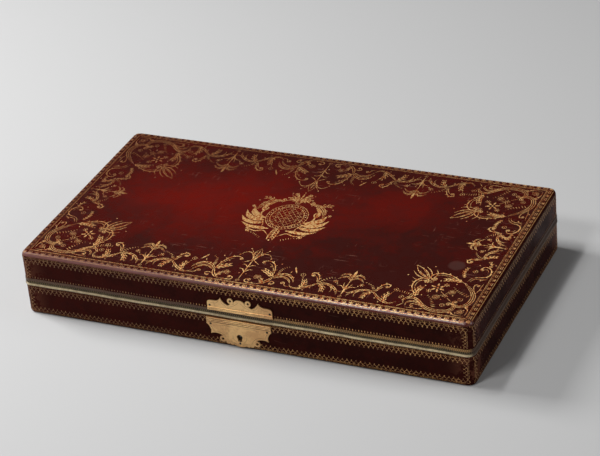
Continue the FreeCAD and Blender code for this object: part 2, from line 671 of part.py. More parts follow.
def ink_pot_cover():
    """The ink pot's cover: a plug in the mouth, a low cap and a small knob."""
    brim = POT_MOUTH_R + COVER_BRIM
    crown = COVER_HEIGHT - KNOB_R
    profile = [((0.0, -POT_WALL),), ((POT_MOUTH_R, -POT_WALL),), ((POT_MOUTH_R, 0.0),), ((brim, 0.0),),
               ((brim, COVER_EDGE),), ((COVER_SHOULDER_R, COVER_SHOULDER),), ((KNOB_NECK_R, crown),),
               ((KNOB_R, crown + KNOB_R / 2),), ((KNOB_NECK_R, COVER_HEIGHT),), ((0.0, COVER_HEIGHT),)]
    return pot_top(-1, profile)


def pounce_sander():
    """The pounce pot's top: a plug in the mouth and a shallow dish with a rolled rim."""
    brim = POT_MOUTH_R + COVER_BRIM
    profile = [((0.0, -POT_WALL),), ((POT_MOUTH_R, -POT_WALL),), ((POT_MOUTH_R, 0.0),), ((brim, 0.0),),
               ((brim + SANDER_BULGE, SANDER_RIM / 2),), ((brim, SANDER_RIM),),
               ((brim - COVER_EDGE, SANDER_RIM),), ((SANDER_FLOOR_R, COVER_EDGE),), ((0.0, COVER_EDGE),)]
    return pot_top(1, profile)


def drawer_parts():
    """The dovetailed drawer, its fittings and its two pots."""
    half = DRAWER_HALF
    inner = DRAWER_INNER_HALF
    groove_z = DRAWER_Z + DRAWER_FOOT
    tongue = block(DRAWER_INNER_FRONT - GROOVE, DRAWER_REAR_X, -inner - GROOVE, inner + GROOVE,
                   groove_z, DRAWER_FLOOR_Z)
    front = block(-WOOD_X, DRAWER_INNER_FRONT, -half, half, DRAWER_Z, DRAWER_TOP)
    back = block(DRAWER_INNER_REAR, DRAWER_REAR_X, -half, half, DRAWER_FLOOR_Z, DRAWER_TOP)
    parts = {}
    for y0, name in ((-half, "front"), (half - DRAWER_SIDE, "rear")):
        side = block(DRAWER_INNER_FRONT, DRAWER_INNER_REAR, y0, y0 + DRAWER_SIDE, DRAWER_Z, DRAWER_TOP)
        lap = dovetails(DRAWER_INNER_FRONT, DRAWER_INNER_FRONT - DOVETAIL_LAP, y0, y0 + DRAWER_SIDE)
        through = dovetails(DRAWER_INNER_REAR, DRAWER_REAR_X, y0, y0 + DRAWER_SIDE)
        for tail in lap + through:
            side = side.fuse(tail)
        front = cut_all(front, lap)
        back = cut_all(back, through)
        parts["drawer_side_" + name] = side.cut(tongue).removeSplitter()
    parts["drawer_front"] = front.cut(tongue)
    parts["drawer_back"] = back
    parts["drawer_bottom"] = cut_all(tongue, [parts["drawer_side_front"], parts["drawer_side_rear"]])
    parts["drawer_front_leather"] = block(-HALF_X, -WOOD_X, -half, half, DRAWER_Z, DRAWER_TOP)
    parts["drawer_paper"] = block(DRAWER_INNER_FRONT, DRAWER_INNER_REAR, -inner, inner,
                                  DRAWER_FLOOR_Z, DRAWER_BED_Z)
    divider_top = DRAWER_BED_Z + DIVIDER_HEIGHT
    dividers = [block(POT_ROW_X, POT_ROW_X + DIVIDER, -inner, inner, DRAWER_BED_Z, divider_top)]
    for y0 in (-CELL_Y - DIVIDER, CELL_Y):
        dividers.append(block(DRAWER_INNER_FRONT, POT_ROW_X, y0, y0 + DIVIDER, DRAWER_BED_Z, divider_top))
    parts["drawer_dividers"] = group(dividers)
    parts["ink_pot"] = pot(-1)
    parts["ink_pot_cover"] = ink_pot_cover()
    parts["pounce_pot"] = pot(1)
    parts["pounce_pot_sander"] = pounce_sander()
    return parts


def pull_parts():
    """The drop-ring pull: a lobed rosette, an eyed post and the ring."""
    face_x = -HALF_X
    out = X_AXIS * -1
    rosette_z = PULL_Z - RING_WIRE_R
    lobe_r = ROSETTE_R * math.sin(math.pi / ROSETTE_LOBES)
    rosette = rod(ROSETTE_R - LOBE_SINK, VEC(face_x, 0, rosette_z), out, ROSETTE)
    for index in range(ROSETTE_LOBES):
        angle = 2 * math.pi * (index + 0.5) / ROSETTE_LOBES
        reach = ROSETTE_R - lobe_r
        middle = VEC(face_x, reach * math.cos(angle), rosette_z + reach * math.sin(angle))
        rosette = rosette.fuse(rod(lobe_r, middle, out, ROSETTE))
    rosette = rosette.common(block(face_x - ROSETTE, face_x, -ROSETTE_R, ROSETTE_R,
                                   DRAWER_Z, DRAWER_TOP)).removeSplitter()
    eye_r = RING_WIRE_R + EYE_CLEARANCE
    eye = rod(eye_r + EYE_RIM, VEC(RING_AXIS_X, -EYE_WIDTH / 2, PULL_Z), Y_AXIS, EYE_WIDTH)
    stem_r = EYE_WIDTH / 2 - EYE_CLEARANCE
    stem = rod(stem_r, VEC(face_x - ROSETTE, 0, PULL_Z), out, RING_STAND_OFF - ROSETTE)
    post = eye.fuse(stem).cut(rod(eye_r, VEC(RING_AXIS_X, -EYE_WIDTH, PULL_Z), Y_AXIS, 2 * EYE_WIDTH))
    ring = Part.makeTorus(RING_R, RING_WIRE_R, VEC(RING_AXIS_X, 0, PULL_Z - RING_R), X_AXIS)
    return {"pull_rosette": rosette, "pull_post": post.removeSplitter(), "pull_ring": ring}


def main():
    """Builds every piece and writes one file for each."""
    places = plate_pin_places()
    base_nails = []
    lid_nails = []
    for side in (-1, 1):
        base_nails += hinge_nails(side, BASE_HEIGHT + HINGE_LEAF, Z_AXIS * -1)
        lid_nails += hinge_nails(side, LID_RIM_Z - HINGE_LEAF, Z_AXIS)
    parts = {}
    parts.update(base_parts(base_nails, places))
    parts.update(lid_parts(lid_nails, places))
    parts.update(lock_parts(places))
    parts.update(hinge_parts(base_nails, lid_nails))
    parts.update(drawer_parts())
    parts.update(pull_parts())
    os.makedirs("parts", exist_ok=True)
    for name, shape in parts.items():
        if not shape.isValid() or shape.Volume <= 0:
            raise ValueError(name + " is not a sound solid")
        shape.exportStep("parts/" + name + ".step")


main()
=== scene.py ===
"""The looks of a letter writing box with drawer: red leather with gold tooling over a wooden
carcass, braided rims, a sawn brass lock, silk linings and a writing drawer in its left end.

Lengths are written in millimetres and turned into metres where a mesh is made. The frame is
the part's own: +X runs along the length, -Y is the front with the lock, +Z is up."""

import json
import logging
from math import atan2, copysign, cos, degrees, dist, exp, hypot, pi, radians, sin, sqrt
from dataclasses import dataclass, field
from enum import Enum
from typing import Callable, Iterable, Sequence

import bmesh
import bpy
from bmesh.types import BMesh, BMFace
from bpy.types import ID, Material, Mesh, Node, NodeSocket, NodeTree, Object
from mathutils import Matrix, Vector

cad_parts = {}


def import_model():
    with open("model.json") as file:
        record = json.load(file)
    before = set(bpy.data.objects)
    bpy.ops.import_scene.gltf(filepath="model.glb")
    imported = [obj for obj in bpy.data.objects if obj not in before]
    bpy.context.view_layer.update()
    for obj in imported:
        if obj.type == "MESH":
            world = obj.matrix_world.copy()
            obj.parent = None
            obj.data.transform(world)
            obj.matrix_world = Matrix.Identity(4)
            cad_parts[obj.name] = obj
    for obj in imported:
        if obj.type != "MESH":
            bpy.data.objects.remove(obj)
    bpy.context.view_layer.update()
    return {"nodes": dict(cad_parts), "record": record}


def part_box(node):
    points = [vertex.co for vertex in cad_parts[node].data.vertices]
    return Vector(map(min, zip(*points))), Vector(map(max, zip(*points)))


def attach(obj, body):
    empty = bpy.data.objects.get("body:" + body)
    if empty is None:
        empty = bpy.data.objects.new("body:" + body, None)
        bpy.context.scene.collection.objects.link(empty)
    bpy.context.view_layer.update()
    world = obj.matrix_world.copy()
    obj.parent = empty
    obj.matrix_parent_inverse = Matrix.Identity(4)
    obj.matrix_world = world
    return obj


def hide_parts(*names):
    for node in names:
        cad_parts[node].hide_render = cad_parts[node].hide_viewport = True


LOG = logging.getLogger("writing_box")
MM = 0.001
Point = tuple[float, float]
Place = tuple[float, float, float]
Line = Sequence[Point]
Colour = tuple[float, float, float]


def srgb(red: float, green: float, blue: float) -> Colour:
    """A colour of 0 to 255 parts in linear light.

    Args:
        red: The red part.
        green: The green part.
        blue: The blue part.

    Returns:
        The linear colour.
    """
    shares = (red / 255, green / 255, blue / 255)
    return tuple(share / 12.92 if share <= 0.04045 else ((share + 0.055) / 1.055) ** 2.4
                 for share in shares)


# ---- node wiring ----
def feed(socket: NodeSocket, value: object) -> None:
    """Sets or links an input.

    Args:
        socket: The input.
        value: A signal to link, or a plain value.
    """
    if isinstance(value, Signal):
        socket.id_data.links.new(value.socket, socket)
    elif socket.type == "RGBA":
        socket.default_value = (*value, 1.0)
    else:
        socket.default_value = value


def new_node(tree: NodeTree, kind: str, inputs: dict | None = None,
             **settings: object) -> Node:
    """Adds a node.

    Args:
        tree: The node tree.
        kind: The node's type, without its ShaderNode prefix.
        inputs: Values or signals for its inputs, by name or index.
        settings: Properties of the node.

    Returns:
        The new node.
    """
    made = tree.nodes.new("ShaderNode" + kind)
    for name, value in settings.items():
        setattr(made, name, value)
    for name, value in (inputs or {}).items():
        feed(made.inputs[name], value)
    return made


class Signal:
    """A value or vector in a node tree, of which sums, spans and textures can be taken."""

    def __init__(self, socket: NodeSocket) -> None:
        """Wraps an output socket."""
        self.socket = socket

    def through(self, kind: str, inputs: dict, output: object = 0, **settings: object) -> "Signal":
        """An output of a new node in this signal's tree."""
        return Signal(new_node(self.socket.id_data, kind, inputs, **settings).outputs[output])

    def maths(self, operation: str, *others: object) -> "Signal":
        """A math node's result for this value and the others."""
        return self.through("Math", dict(enumerate((self, *others))), operation=operation)

    def __add__(self, other: object) -> "Signal":
        """The sum."""
        return self.maths("ADD", other)

    def __sub__(self, other: object) -> "Signal":
        """The difference."""
        return self.maths("SUBTRACT", other)

    def __mul__(self, other: object) -> "Signal":
        """The product."""
        return self.maths("MULTIPLY", other)

    def larger(self, other: object) -> "Signal":
        """The larger of two values."""
        return self.maths("MAXIMUM", other)

    def blend(self, first: object, second: object) -> "Signal":
        """Two colours mixed, this value being the share of the second."""
        return self.through("Mix", {0: self, 6: first, 7: second}, 2, data_type="RGBA")

    def span(self, low: float, high: float, out_low: float = 0.0, out_high: float = 1.0
             ) -> "Signal":
        """The range from low to high stretched to another one, with smooth ends."""
        return self.through("MapRange", {0: self, 1: low, 2: high, 3: out_low, 4: out_high},
                            interpolation_type="SMOOTHSTEP")

    def noise(self, scale: object, detail: float = 4.0, rough: float = 0.55, twist: float = 0.0
              ) -> "Signal":
        """Cloudy noise of one value at this vector."""
        return self.through("TexNoise", {"Vector": self, "Scale": scale, "Detail": detail,
                                         "Roughness": rough, "Distortion": twist})

    def scaled(self, by: Place) -> "Signal":
        """This vector multiplied part by part."""
        return self.through("VectorMath", {0: self, 1: by}, operation="MULTIPLY")

    def part(self, axis: str) -> "Signal":
        """One part of this vector."""
        return self.through("SeparateXYZ", {0: self}, axis)

    def carried(self, name: str) -> "Signal":
        """A value that the mesh carries, in this signal's tree."""
        return self.through("Attribute", {}, "Fac", attribute_name=name)

    def bump(self, depth: float, strength: float) -> "Signal":
        """A normal from this height, which stands for depth metres where it is 1."""
        return self.through("Bump", {"Height": self, "Distance": depth, "Strength": strength})


class EffectGroup:
    """A shader node group with a vector, named values and named results, built once."""

    def __init__(self, name: str, values: dict[str, float], results: Sequence[str]) -> None:
        """Makes the empty group.

        Args:
            name: The group's name.
            values: Each value's default.
            results: The names of the results.
        """
        self.tree = bpy.data.node_groups.new(name, "ShaderNodeTree")
        sockets = self.tree.interface
        sockets.new_socket(name="Vector", in_out="INPUT", socket_type="NodeSocketVector")
        for label, default in values.items():
            socket = sockets.new_socket(name=label, in_out="INPUT", socket_type="NodeSocketFloat")
            socket.default_value = default
        for label in results:
            sockets.new_socket(name=label, in_out="OUTPUT", socket_type="NodeSocketFloat")
        self.source = self.tree.nodes.new("NodeGroupInput").outputs
        self.sink = self.tree.nodes.new("NodeGroupOutput").inputs

    def __getitem__(self, name: str) -> Signal:
        """One of the group's inputs, from inside."""
        return Signal(self.source[name])

    def give(self, **results: Signal) -> "EffectGroup":
        """Joins the results to the outputs.

        Args:
            results: The signal for each result.

        Returns:
            The group itself.
        """
        for name, value in results.items():
            feed(self.sink[name], value)
        return self

    def at(self, vector: Signal, **values: object) -> dict[str, Signal]:
        """Puts the group into a material.

        Args:
            vector: Where it is looked up.
            values: Values or signals for the group's inputs.

        Returns:
            The results by name.
        """
        made = new_node(vector.socket.id_data, "Group", node_tree=self.tree)
        for name, value in {"Vector": vector, **values}.items():
            feed(made.inputs[name], value)
        return {output.name: Signal(output) for output in made.outputs}


class Effects:
    """The effects that several finishes share."""

    def __init__(self) -> None:
        """Builds every group."""
        self.pebble = self._pebble()
        self.clouds = self._clouds()
        self.scratches = self._scratches()
        self.timber = self._timber()
        self.threads = self._threads()

    @staticmethod
    def _pebble() -> EffectGroup:
        """The fine pebbled grain of goatskin, with creases between the pebbles.

        Returns:
            The group.
        """
        group = EffectGroup("pebble", {"Scale": 700.0, "Crease": 0.5}, ("Height",))
        place = group["Vector"]
        warp = place.noise(260.0, 2.0) * 0.0016
        shifted = place.through("VectorMath", {0: place, 1: warp}, operation="ADD")
        cells = place.through("TexVoronoi", {"Vector": shifted, "Scale": group["Scale"]},
                              feature="DISTANCE_TO_EDGE")
        crease = cells.span(0.0, 0.22)
        return group.give(Height=crease * group["Crease"] + place.noise(1500.0, 3.0))

    @staticmethod
    def _clouds() -> EffectGroup:
        """Large soft clouds with small specks, for stains, patina and wear.

        Returns:
            The group.
        """
        group = EffectGroup("clouds", {"Scale": 14.0, "Specks": 0.4}, ("Mask", "Speck"))
        place = group["Vector"]
        large = place.noise(group["Scale"], 3.0, 0.6, 0.6)
        small = place.noise(group["Scale"] * 9.0, 4.0, 0.65)
        mixed = (small - 0.5) * group["Specks"] + large
        return group.give(Mask=mixed.span(0.36, 0.64), Speck=small.span(0.56, 0.7))

    @staticmethod
    def _scratches() -> EffectGroup:
        """Short fine scratches in two directions.

        Returns:
            The group.
        """
        group = EffectGroup("scratches", {"Scale": 1.0, "Amount": 0.5}, ("Mask",))
        place = group["Vector"]
        lines = []
        for stretch, low in (((40.0, 900.0, 300.0), 0.66), ((700.0, 60.0, 300.0), 0.68)):
            line = place.scaled(stretch).noise(group["Scale"], 2.0, 0.5, 0.4)
            lines.append(line.span(low, low + 0.06))
        patch = place.noise(22.0, 2.0).span(0.42, 0.62)
        return group.give(Mask=lines[0].larger(lines[1]) * patch * group["Amount"])

    @staticmethod
    def _timber() -> EffectGroup:
        """Straight grain with pores; the input vector runs along the grain in X.

        Returns:
            The group.
        """
        group = EffectGroup("timber", {"Scale": 1.0}, ("Mask", "Height"))
        place = group["Vector"]
        rings = place.scaled((9.0, 160.0, 160.0)).noise(group["Scale"], 4.0, 0.55, 0.8)
        pores = place.scaled((90.0, 2600.0, 2600.0)).noise(group["Scale"], 2.0, 0.5)
        mask = pores.span(0.56, 0.68) * 0.35 + rings.span(0.3, 0.72)
        return group.give(Mask=mask, Height=mask * -1.0 + 1.0)

    @staticmethod
    def _threads() -> EffectGroup:
        """Crossing threads of a woven cloth or braid.

        Returns:
            The group.
        """
        group = EffectGroup("threads", {"Pitch": 1600.0}, ("Height", "Mask"))
        place = group["Vector"]
        along, across, deep = ((place.part(axis) * group["Pitch"]).maths("SINE") for axis in "XYZ")
        height = deep * 0.5 + along * across + place.noise(420.0, 3.0)
        return group.give(Height=height, Mask=height.span(-0.6, 1.4))


# ---- finishes ----
class Slot(Enum):
    """The record's material slots."""
    LEATHER = "red_leather"
    PALE_BRAID = "silver_braid"
    DARK_BRAID = "dark_braid"
    SILK = "silk"
    PAPER = "drawer_paper"
    UNDERSIDE = "underside_paper"
    BRASS = "brass"
    IRON = "lock_steel"
    GLAZE = "pot_glaze"
    PEWTER = "pewter"
    WOOD = "wood"


@dataclass(frozen=True)
class Finish:
    """A procedural material: what all of them have in common."""
    name: str
    effects: Effects

    def material(self) -> Material:
        """Builds the material.

        Returns:
            The new material.
        """
        made = bpy.data.materials.new(self.name)
        made.use_nodes = True
        tree = made.node_tree
        tree.nodes.clear()
        shader = new_node(tree, "BsdfPrincipled")
        new_node(tree, "OutputMaterial", {0: Signal(shader.outputs[0])})
        place = Signal(new_node(tree, "TexCoord").outputs["Object"])
        for name, value in self.dress(place).items():
            feed(shader.inputs[name], value)
        return made

    def dress(self, place: Signal) -> dict[str, object]:
        """What the shader is fed with.

        Args:
            place: Coordinates that keep to the piece.

        Returns:
            A signal or a plain value for each input.
        """
        raise NotImplementedError


@dataclass(frozen=True)
class HideFinish(Finish):
    """Polished red goatskin, worn darker by hands, with painted highlights and painted side shade.
    """
    # bright is the red of the painted highlight patches; side and side_dark are painted side shade.
    bright: Colour = srgb(107, 17, 9)
    dark: Colour = srgb(56, 17, 13)
    side: Colour = srgb(64, 23, 18)
    side_dark: Colour = srgb(38, 16, 13)
    scuff: Colour = srgb(150, 104, 88)
    rubbed: Colour = srgb(98, 56, 42)
    stain: Colour = srgb(82, 54, 48)
    specular: float = 0.012
    rough_left: float = 0.0
    stain_at: Place | None = None

    def dress(self, place: Signal) -> dict[str, object]:
        """Mottled red with painted highlights and side shade, scratches, grain and a dull stain.

        Args:
            place: Coordinates that keep to the piece.

        Returns:
            A signal or a plain value for each input.
        """
        clouds = self.effects.clouds.at(place, Scale=12.0, Specks=0.3)["Mask"]
        fine = self.effects.clouds.at(place, Scale=52.0, Specks=0.6)
        scratch = self.effects.scratches.at(place, Amount=0.8)["Mask"]
        side, worn = place.carried("side"), place.carried("handled_and_lit")
        uneven = clouds * 0.2 + fine["Mask"] * 0.14
        # Painted highlight: bright red where worn dips in the highlight patches, worn dark red
        # elsewhere.
        red = (worn * 0.84 + uneven).blend(self.bright, self.dark)
        # Painted shade: the upright sides take darker reds, darker still towards the right end.
        along = place.part("X").span(-0.24, 0.1, 0.1, 0.42)
        dull = (fine["Mask"] * 0.4 + along).blend(self.side, self.side_dark)
        colour = side.blend(red, dull)
        near = place.part("X").maths("ABSOLUTE") - 0.208
        corner = near.maths("MINIMUM", place.part("Y").maths("ABSOLUTE") - 0.092)
        corner = corner.span(0.0, 0.034) * fine["Mask"].span(0.3, 0.7)
        colour = (corner * side).blend(colour, self.rubbed)
        colour = (fine["Speck"] * 0.22).blend(colour, self.side_dark)
        scuffed = scratch * worn.span(0.2, 0.9, 0.12, 0.55) * side.span(0.0, 1.0, 1.0, 0.25)
        colour = scuffed.blend(colour, self.scuff)
        rough = fine["Mask"].span(0.0, 1.0, 0.24, 0.36) + scratch * 0.15
        if self.rough_left:
            rough = rough + place.part("X").span(0.04, -0.12, 0.0, self.rough_left)
        if self.stain_at is not None:
            away = place.through("VectorMath", {0: place, 1: self.stain_at}, "Value",
                                 operation="DISTANCE")
            spot = (away + place.noise(160.0) * 0.004).span(0.0118, 0.0084)
            colour = (spot * 0.45).blend(colour, self.stain)
            rough = rough + spot * 0.2
        pebble = self.effects.pebble.at(place, Scale=760.0)["Height"]
        return {"Base Color": colour, "Roughness": rough, "Specular IOR Level": self.specular,
                "Normal": (pebble * 0.7 + scratch * -0.6).bump(0.00009, 0.5)}


@dataclass(frozen=True)
class GildingFinish(Finish):
    """Gold leaf pressed into leather, worn through in places, with a painted reflection falloff."""
    gold: Colour = srgb(255, 208, 136)
    deep: Colour = srgb(190, 96, 40)
    leather: Colour = srgb(80, 28, 16)
    faded: Colour = srgb(112, 62, 30)
    wear: float = 0.3
    fade: float = 0.0

    def dress(self, place: Signal) -> dict[str, object]:
        """Gold that gives way to leather, painted duller to the back and left as reflection
        falloff.

        Args:
            place: Coordinates that keep to the piece.

        Returns:
            A signal or a plain value for each input.
        """
        loss = self.effects.clouds.at(place, Scale=30.0, Specks=0.9)["Mask"] * self.wear
        grain = place.noise(1900.0, 3.0, 0.7)
        there = (place.carried("gild") + grain * 0.7 - loss).span(0.3, 0.52)
        glint = place.noise(560.0, 2.0, 0.6).span(0.4, 0.56)
        # Painted reflection falloff: duller gold to the back, the left, the front roll's left and
        # the ends.
        across, deep = place.part("X"), place.part("Y")
        back = (deep * 3.1 + across * -1.5 + 0.45).span(0.0, 1.0)
        front = deep.span(-0.1215, -0.1245) * across.span(0.02, -0.1)
        ends = across.span(-0.229, -0.232).larger(across.span(0.2285, 0.2315, 0.0, 0.5))
        falloff_share = back.larger(front.larger(ends)) * self.fade
        gold = falloff_share.blend(glint.blend(self.deep, self.gold), self.faded)
        return {"Base Color": there.blend(self.leather, gold), "Metallic": there * 0.2,
                "Roughness": grain.span(0.2, 0.8, 0.28, 0.46), "Normal": grain.bump(0.00008, 0.6)}


@dataclass(frozen=True)
class ThreadFinish(Finish):
    """Metal thread wound on silk, tarnished, painted darker in its hollows as shade, soiled by
    handling.
    """
    high: Colour
    low: Colour
    dirt: Colour = srgb(70, 44, 34)
    metallic: float = 0.0
    soiled: float = 0.0
    soiled_ends: float = 0.0

    def dress(self, place: Signal) -> dict[str, object]:
        """Threads with painted shade, tarnish and dirt.

        Args:
            place: Coordinates that keep to the piece.

        Returns:
            A signal or a plain value for each input.
        """
        threads = self.effects.threads.at(place, Pitch=5200.0)
        clouds = self.effects.clouds.at(place, Scale=60.0, Specks=0.8)["Mask"]
        # Painted shade: the braid is painted darker in its hollows, on its inset parts and between
        # threads.
        light = place.carried("lit_share") * threads["Mask"].span(0.0, 1.0, 0.6, 1.0)
        colour = (clouds * 0.4).blend(light.blend(self.low, self.high), self.low)
        across = place.part("X")
        end = across.maths("ABSOLUTE").span(0.236, 0.2395)
        colour = (across.span(0.07, 0.0) * self.soiled).blend(colour, self.dirt)
        colour = (end * self.soiled_ends).blend(colour, self.dirt)
        return {"Base Color": colour, "Roughness": light.span(0.0, 1.0, 0.7, 0.42),
                "Metallic": light * self.metallic,
                "Normal": threads["Height"].bump(0.00008, 0.8)}


@dataclass(frozen=True)
class SilkFinish(Finish):
    """Watered silk with a soft sheen, faded towards the light."""
    light: Colour = srgb(142, 164, 158)
    dark: Colour = srgb(92, 118, 116)
    yellowed: Colour = srgb(150, 148, 124)

    def dress(self, place: Signal) -> dict[str, object]:
        """Moire bands over a fine weave.

        Args:
            place: Coordinates that keep to the piece.

        Returns:
            A signal or a plain value for each input.
        """
        weave = self.effects.threads.at(place, Pitch=9000.0)["Height"]
        clouds = self.effects.clouds.at(place, Scale=9.0, Specks=0.3)["Mask"]
        bands = place.scaled((16.0, 120.0, 60.0)).noise(1.0, 3.0, 0.6, 2.4)
        water = (bands * 52.0).maths("SINE").span(-0.9, 0.9)
        colour = (clouds * 0.25).blend((water * 0.7).blend(self.dark, self.light), self.yellowed)
        return {"Base Color": colour, "Roughness": water.span(0.0, 1.0, 0.62, 0.42),
                "Sheen Weight": 0.35, "Sheen Roughness": 0.4,
                "Normal": (water * 0.4 + weave).bump(0.00005, 0.6)}


@dataclass(frozen=True)
class MetalFinish(Finish):
    """Old metal: polished high places, tarnish in clouds, and fine file marks."""
    bright: Colour = srgb(230, 188, 130)
    dull: Colour = srgb(204, 158, 108)
    spot: Colour = srgb(104, 72, 46)
    metallic: float = 0.92
    smooth: float = 0.3
    coarse: float = 0.34
    rust: float = 0.12

    def dress(self, place: Signal) -> dict[str, object]:
        """Patina and file marks.

        Args:
            place: Coordinates that keep to the piece.

        Returns:
            A signal or a plain value for each input.
        """
        clouds = self.effects.clouds.at(place, Scale=42.0, Specks=0.55)
        scratch = self.effects.scratches.at(place, Scale=2.2, Amount=0.3)["Mask"]
        colour = clouds["Mask"].blend(self.bright, self.dull)
        return {"Base Color": (clouds["Speck"] * self.rust).blend(colour, self.spot),
                "Metallic": clouds["Speck"].span(0.0, 1.0, self.metallic, self.metallic * 0.7),
                "Roughness": clouds["Mask"].span(0.0, 1.0, self.smooth, self.coarse),
                "Normal": (clouds["Mask"] - scratch).bump(0.00002, 0.3)}


@dataclass(frozen=True)
class TimberFinish(Finish):
    """Planed wood with straight grain."""
    light: Colour = srgb(176, 132, 82)
    dark: Colour = srgb(112, 74, 40)
    grime: Colour = srgb(84, 58, 36)
    turned: bool = False

    def dress(self, place: Signal) -> dict[str, object]:
        """Grain, pores and grime.

        Args:
            place: Coordinates that keep to the piece.

        Returns:
            A signal or a plain value for each input.
        """
        if self.turned:
            place = place.through("Mapping", {0: place, "Rotation": (0.0, 0.0, pi / 2)})
        grain = self.effects.timber.at(place)
        clouds = self.effects.clouds.at(place, Scale=16.0, Specks=0.4)["Mask"]
        colour = (clouds * 0.3).blend(grain["Mask"].blend(self.light, self.dark), self.grime)
        return {"Base Color": colour, "Roughness": clouds.span(0.0, 1.0, 0.62, 0.78),
                "Normal": grain["Height"].bump(0.00012, 0.6)}


@dataclass(frozen=True)
class PaperFinish(Finish):
    """Old laid paper or worn leather: fibres, foxing and rubbed places."""
    light: Colour = srgb(206, 188, 152)
    dark: Colour = srgb(164, 140, 104)
    foxing: Colour = srgb(128, 86, 50)

    def dress(self, place: Signal) -> dict[str, object]:
        """Fibres and foxing.

        Args:
            place: Coordinates that keep to the piece.

        Returns:
            A signal or a plain value for each input.
        """
        clouds = self.effects.clouds.at(place, Scale=20.0, Specks=0.6)
        laid = (place.part("Y") * 5200.0).maths("SINE")
        fibres = place.noise(1300.0, 4.0, 0.7)
        colour = (clouds["Speck"] * 0.5).blend(clouds["Mask"].blend(self.light, self.dark),
                                               self.foxing)
        return {"Base Color": colour, "Roughness": fibres.span(0.2, 0.8, 0.72, 0.9),
                "Normal": (laid * 0.25 + fibres).bump(0.00005, 0.6)}


@dataclass(frozen=True)
class GlazeFinish(Finish):
    """White tin glaze with a few pinholes and a warm tint where it lies thin."""
    glaze: Colour = srgb(232, 228, 216)
    thin: Colour = srgb(206, 190, 160)
    pinhole: Colour = srgb(120, 96, 70)

    def dress(self, place: Signal) -> dict[str, object]:
        """Glaze and pinholes.

        Args:
            place: Coordinates that keep to the piece.

        Returns:
            A signal or a plain value for each input.
        """
        clouds = self.effects.clouds.at(place, Scale=70.0, Specks=0.3)
        colour = (clouds["Mask"] * 0.6).blend(self.glaze, self.thin)
        return {"Base Color": (clouds["Speck"] * 0.35).blend(colour, self.pinhole),
                "Roughness": clouds["Mask"].span(0.0, 1.0, 0.14, 0.24),
                "Coat Weight": 0.4, "Coat Roughness": 0.08,
                "Normal": clouds["Mask"].bump(0.00008, 0.4)}


class Finishes:
    """Every finish of the box, built once."""

    def __init__(self, effects: Effects) -> None:
        """Builds the materials.

        Args:
            effects: The shared effects.
        """
        def make(kind: type[Finish], name: str, **values: object) -> Material:
            """One finish's material."""
            return kind(name, effects, **values).material()

        red_wood = {"light": srgb(164, 112, 66), "dark": srgb(96, 58, 30)}
        self.lid_hide = make(HideFinish, "lid_hide", specular=0.15,
                             stain_at=(0.192, -0.037, 0.0703))
        self.hide = make(HideFinish, "hide")
        # The front roll's lighter, pinker reds are edge wear and partly a painted highlight along
        # it.
        self.edge_hide = make(HideFinish, "edge_hide", dark=srgb(88, 32, 26),
                              side=srgb(112, 54, 44), side_dark=srgb(84, 40, 34),
                              specular=0.72, rough_left=0.4)
        # fade: how much duller the gold is painted where its reflection falls off.
        self.gilding = make(GildingFinish, "gilding", fade=0.84)
        self.dull_gilding = make(GildingFinish, "dull_gilding", gold=srgb(226, 168, 100),
                                 deep=srgb(122, 74, 36), faded=srgb(78, 44, 28), fade=0.6)
        # Each braid's low colour serves as its painted shade and its tarnish.
        self.pale_braid = make(ThreadFinish, "pale_braid", high=srgb(255, 234, 186),
                               low=srgb(108, 80, 48), soiled=0.22, soiled_ends=0.92)
        self.dark_braid = make(ThreadFinish, "dark_braid", high=srgb(140, 116, 68),
                               low=srgb(3, 2, 2), soiled_ends=0.8)
        self.dull_braid = make(ThreadFinish, "dull_braid", high=srgb(222, 166, 92),
                               low=srgb(40, 24, 12), metallic=0.1, soiled=0.84, soiled_ends=0.9)
        self.silk = make(SilkFinish, "watered_silk")
        self.brass = make(MetalFinish, "brass")
        self.nail = make(MetalFinish, "dark_nail", bright=srgb(62, 50, 42), dull=srgb(30, 24, 20),
                         metallic=0.4, smooth=0.45, coarse=0.6)
        self.graving = make(MetalFinish, "graved_line", bright=srgb(112, 84, 50),
                            dull=srgb(70, 50, 30), metallic=0.6, smooth=0.5, coarse=0.7)
        self.iron = make(MetalFinish, "filed_iron", bright=srgb(120, 114, 108),
                         dull=srgb(74, 68, 62), spot=srgb(92, 52, 30), smooth=0.38, coarse=0.6,
                         rust=0.7)
        self.pewter = make(MetalFinish, "pewter", bright=srgb(176, 174, 166),
                           dull=srgb(118, 116, 108), spot=srgb(70, 68, 62), smooth=0.32, coarse=0.5)
        self.timber = make(TimberFinish, "planed_wood")
        self.cross_timber = make(TimberFinish, "cross_wood", turned=True)
        self.drawer_timber = make(TimberFinish, "drawer_wood", **red_wood)
        self.drawer_cross_timber = make(TimberFinish, "drawer_cross_wood", turned=True, **red_wood)
        self.paper = make(PaperFinish, "drawer_paper")
        self.underside = make(PaperFinish, "worn_underside", light=srgb(88, 44, 32),
                              dark=srgb(56, 30, 24), foxing=srgb(120, 84, 60))
        self.glaze = make(GlazeFinish, "white_glaze")
        self.by_slot = {
            Slot.LEATHER: self.hide, Slot.PALE_BRAID: self.pale_braid,
            Slot.DARK_BRAID: self.dark_braid, Slot.SILK: self.silk, Slot.PAPER: self.paper,
            Slot.UNDERSIDE: self.underside, Slot.BRASS: self.brass, Slot.IRON: self.iron,
            Slot.GLAZE: self.glaze, Slot.PEWTER: self.pewter, Slot.WOOD: self.timber}


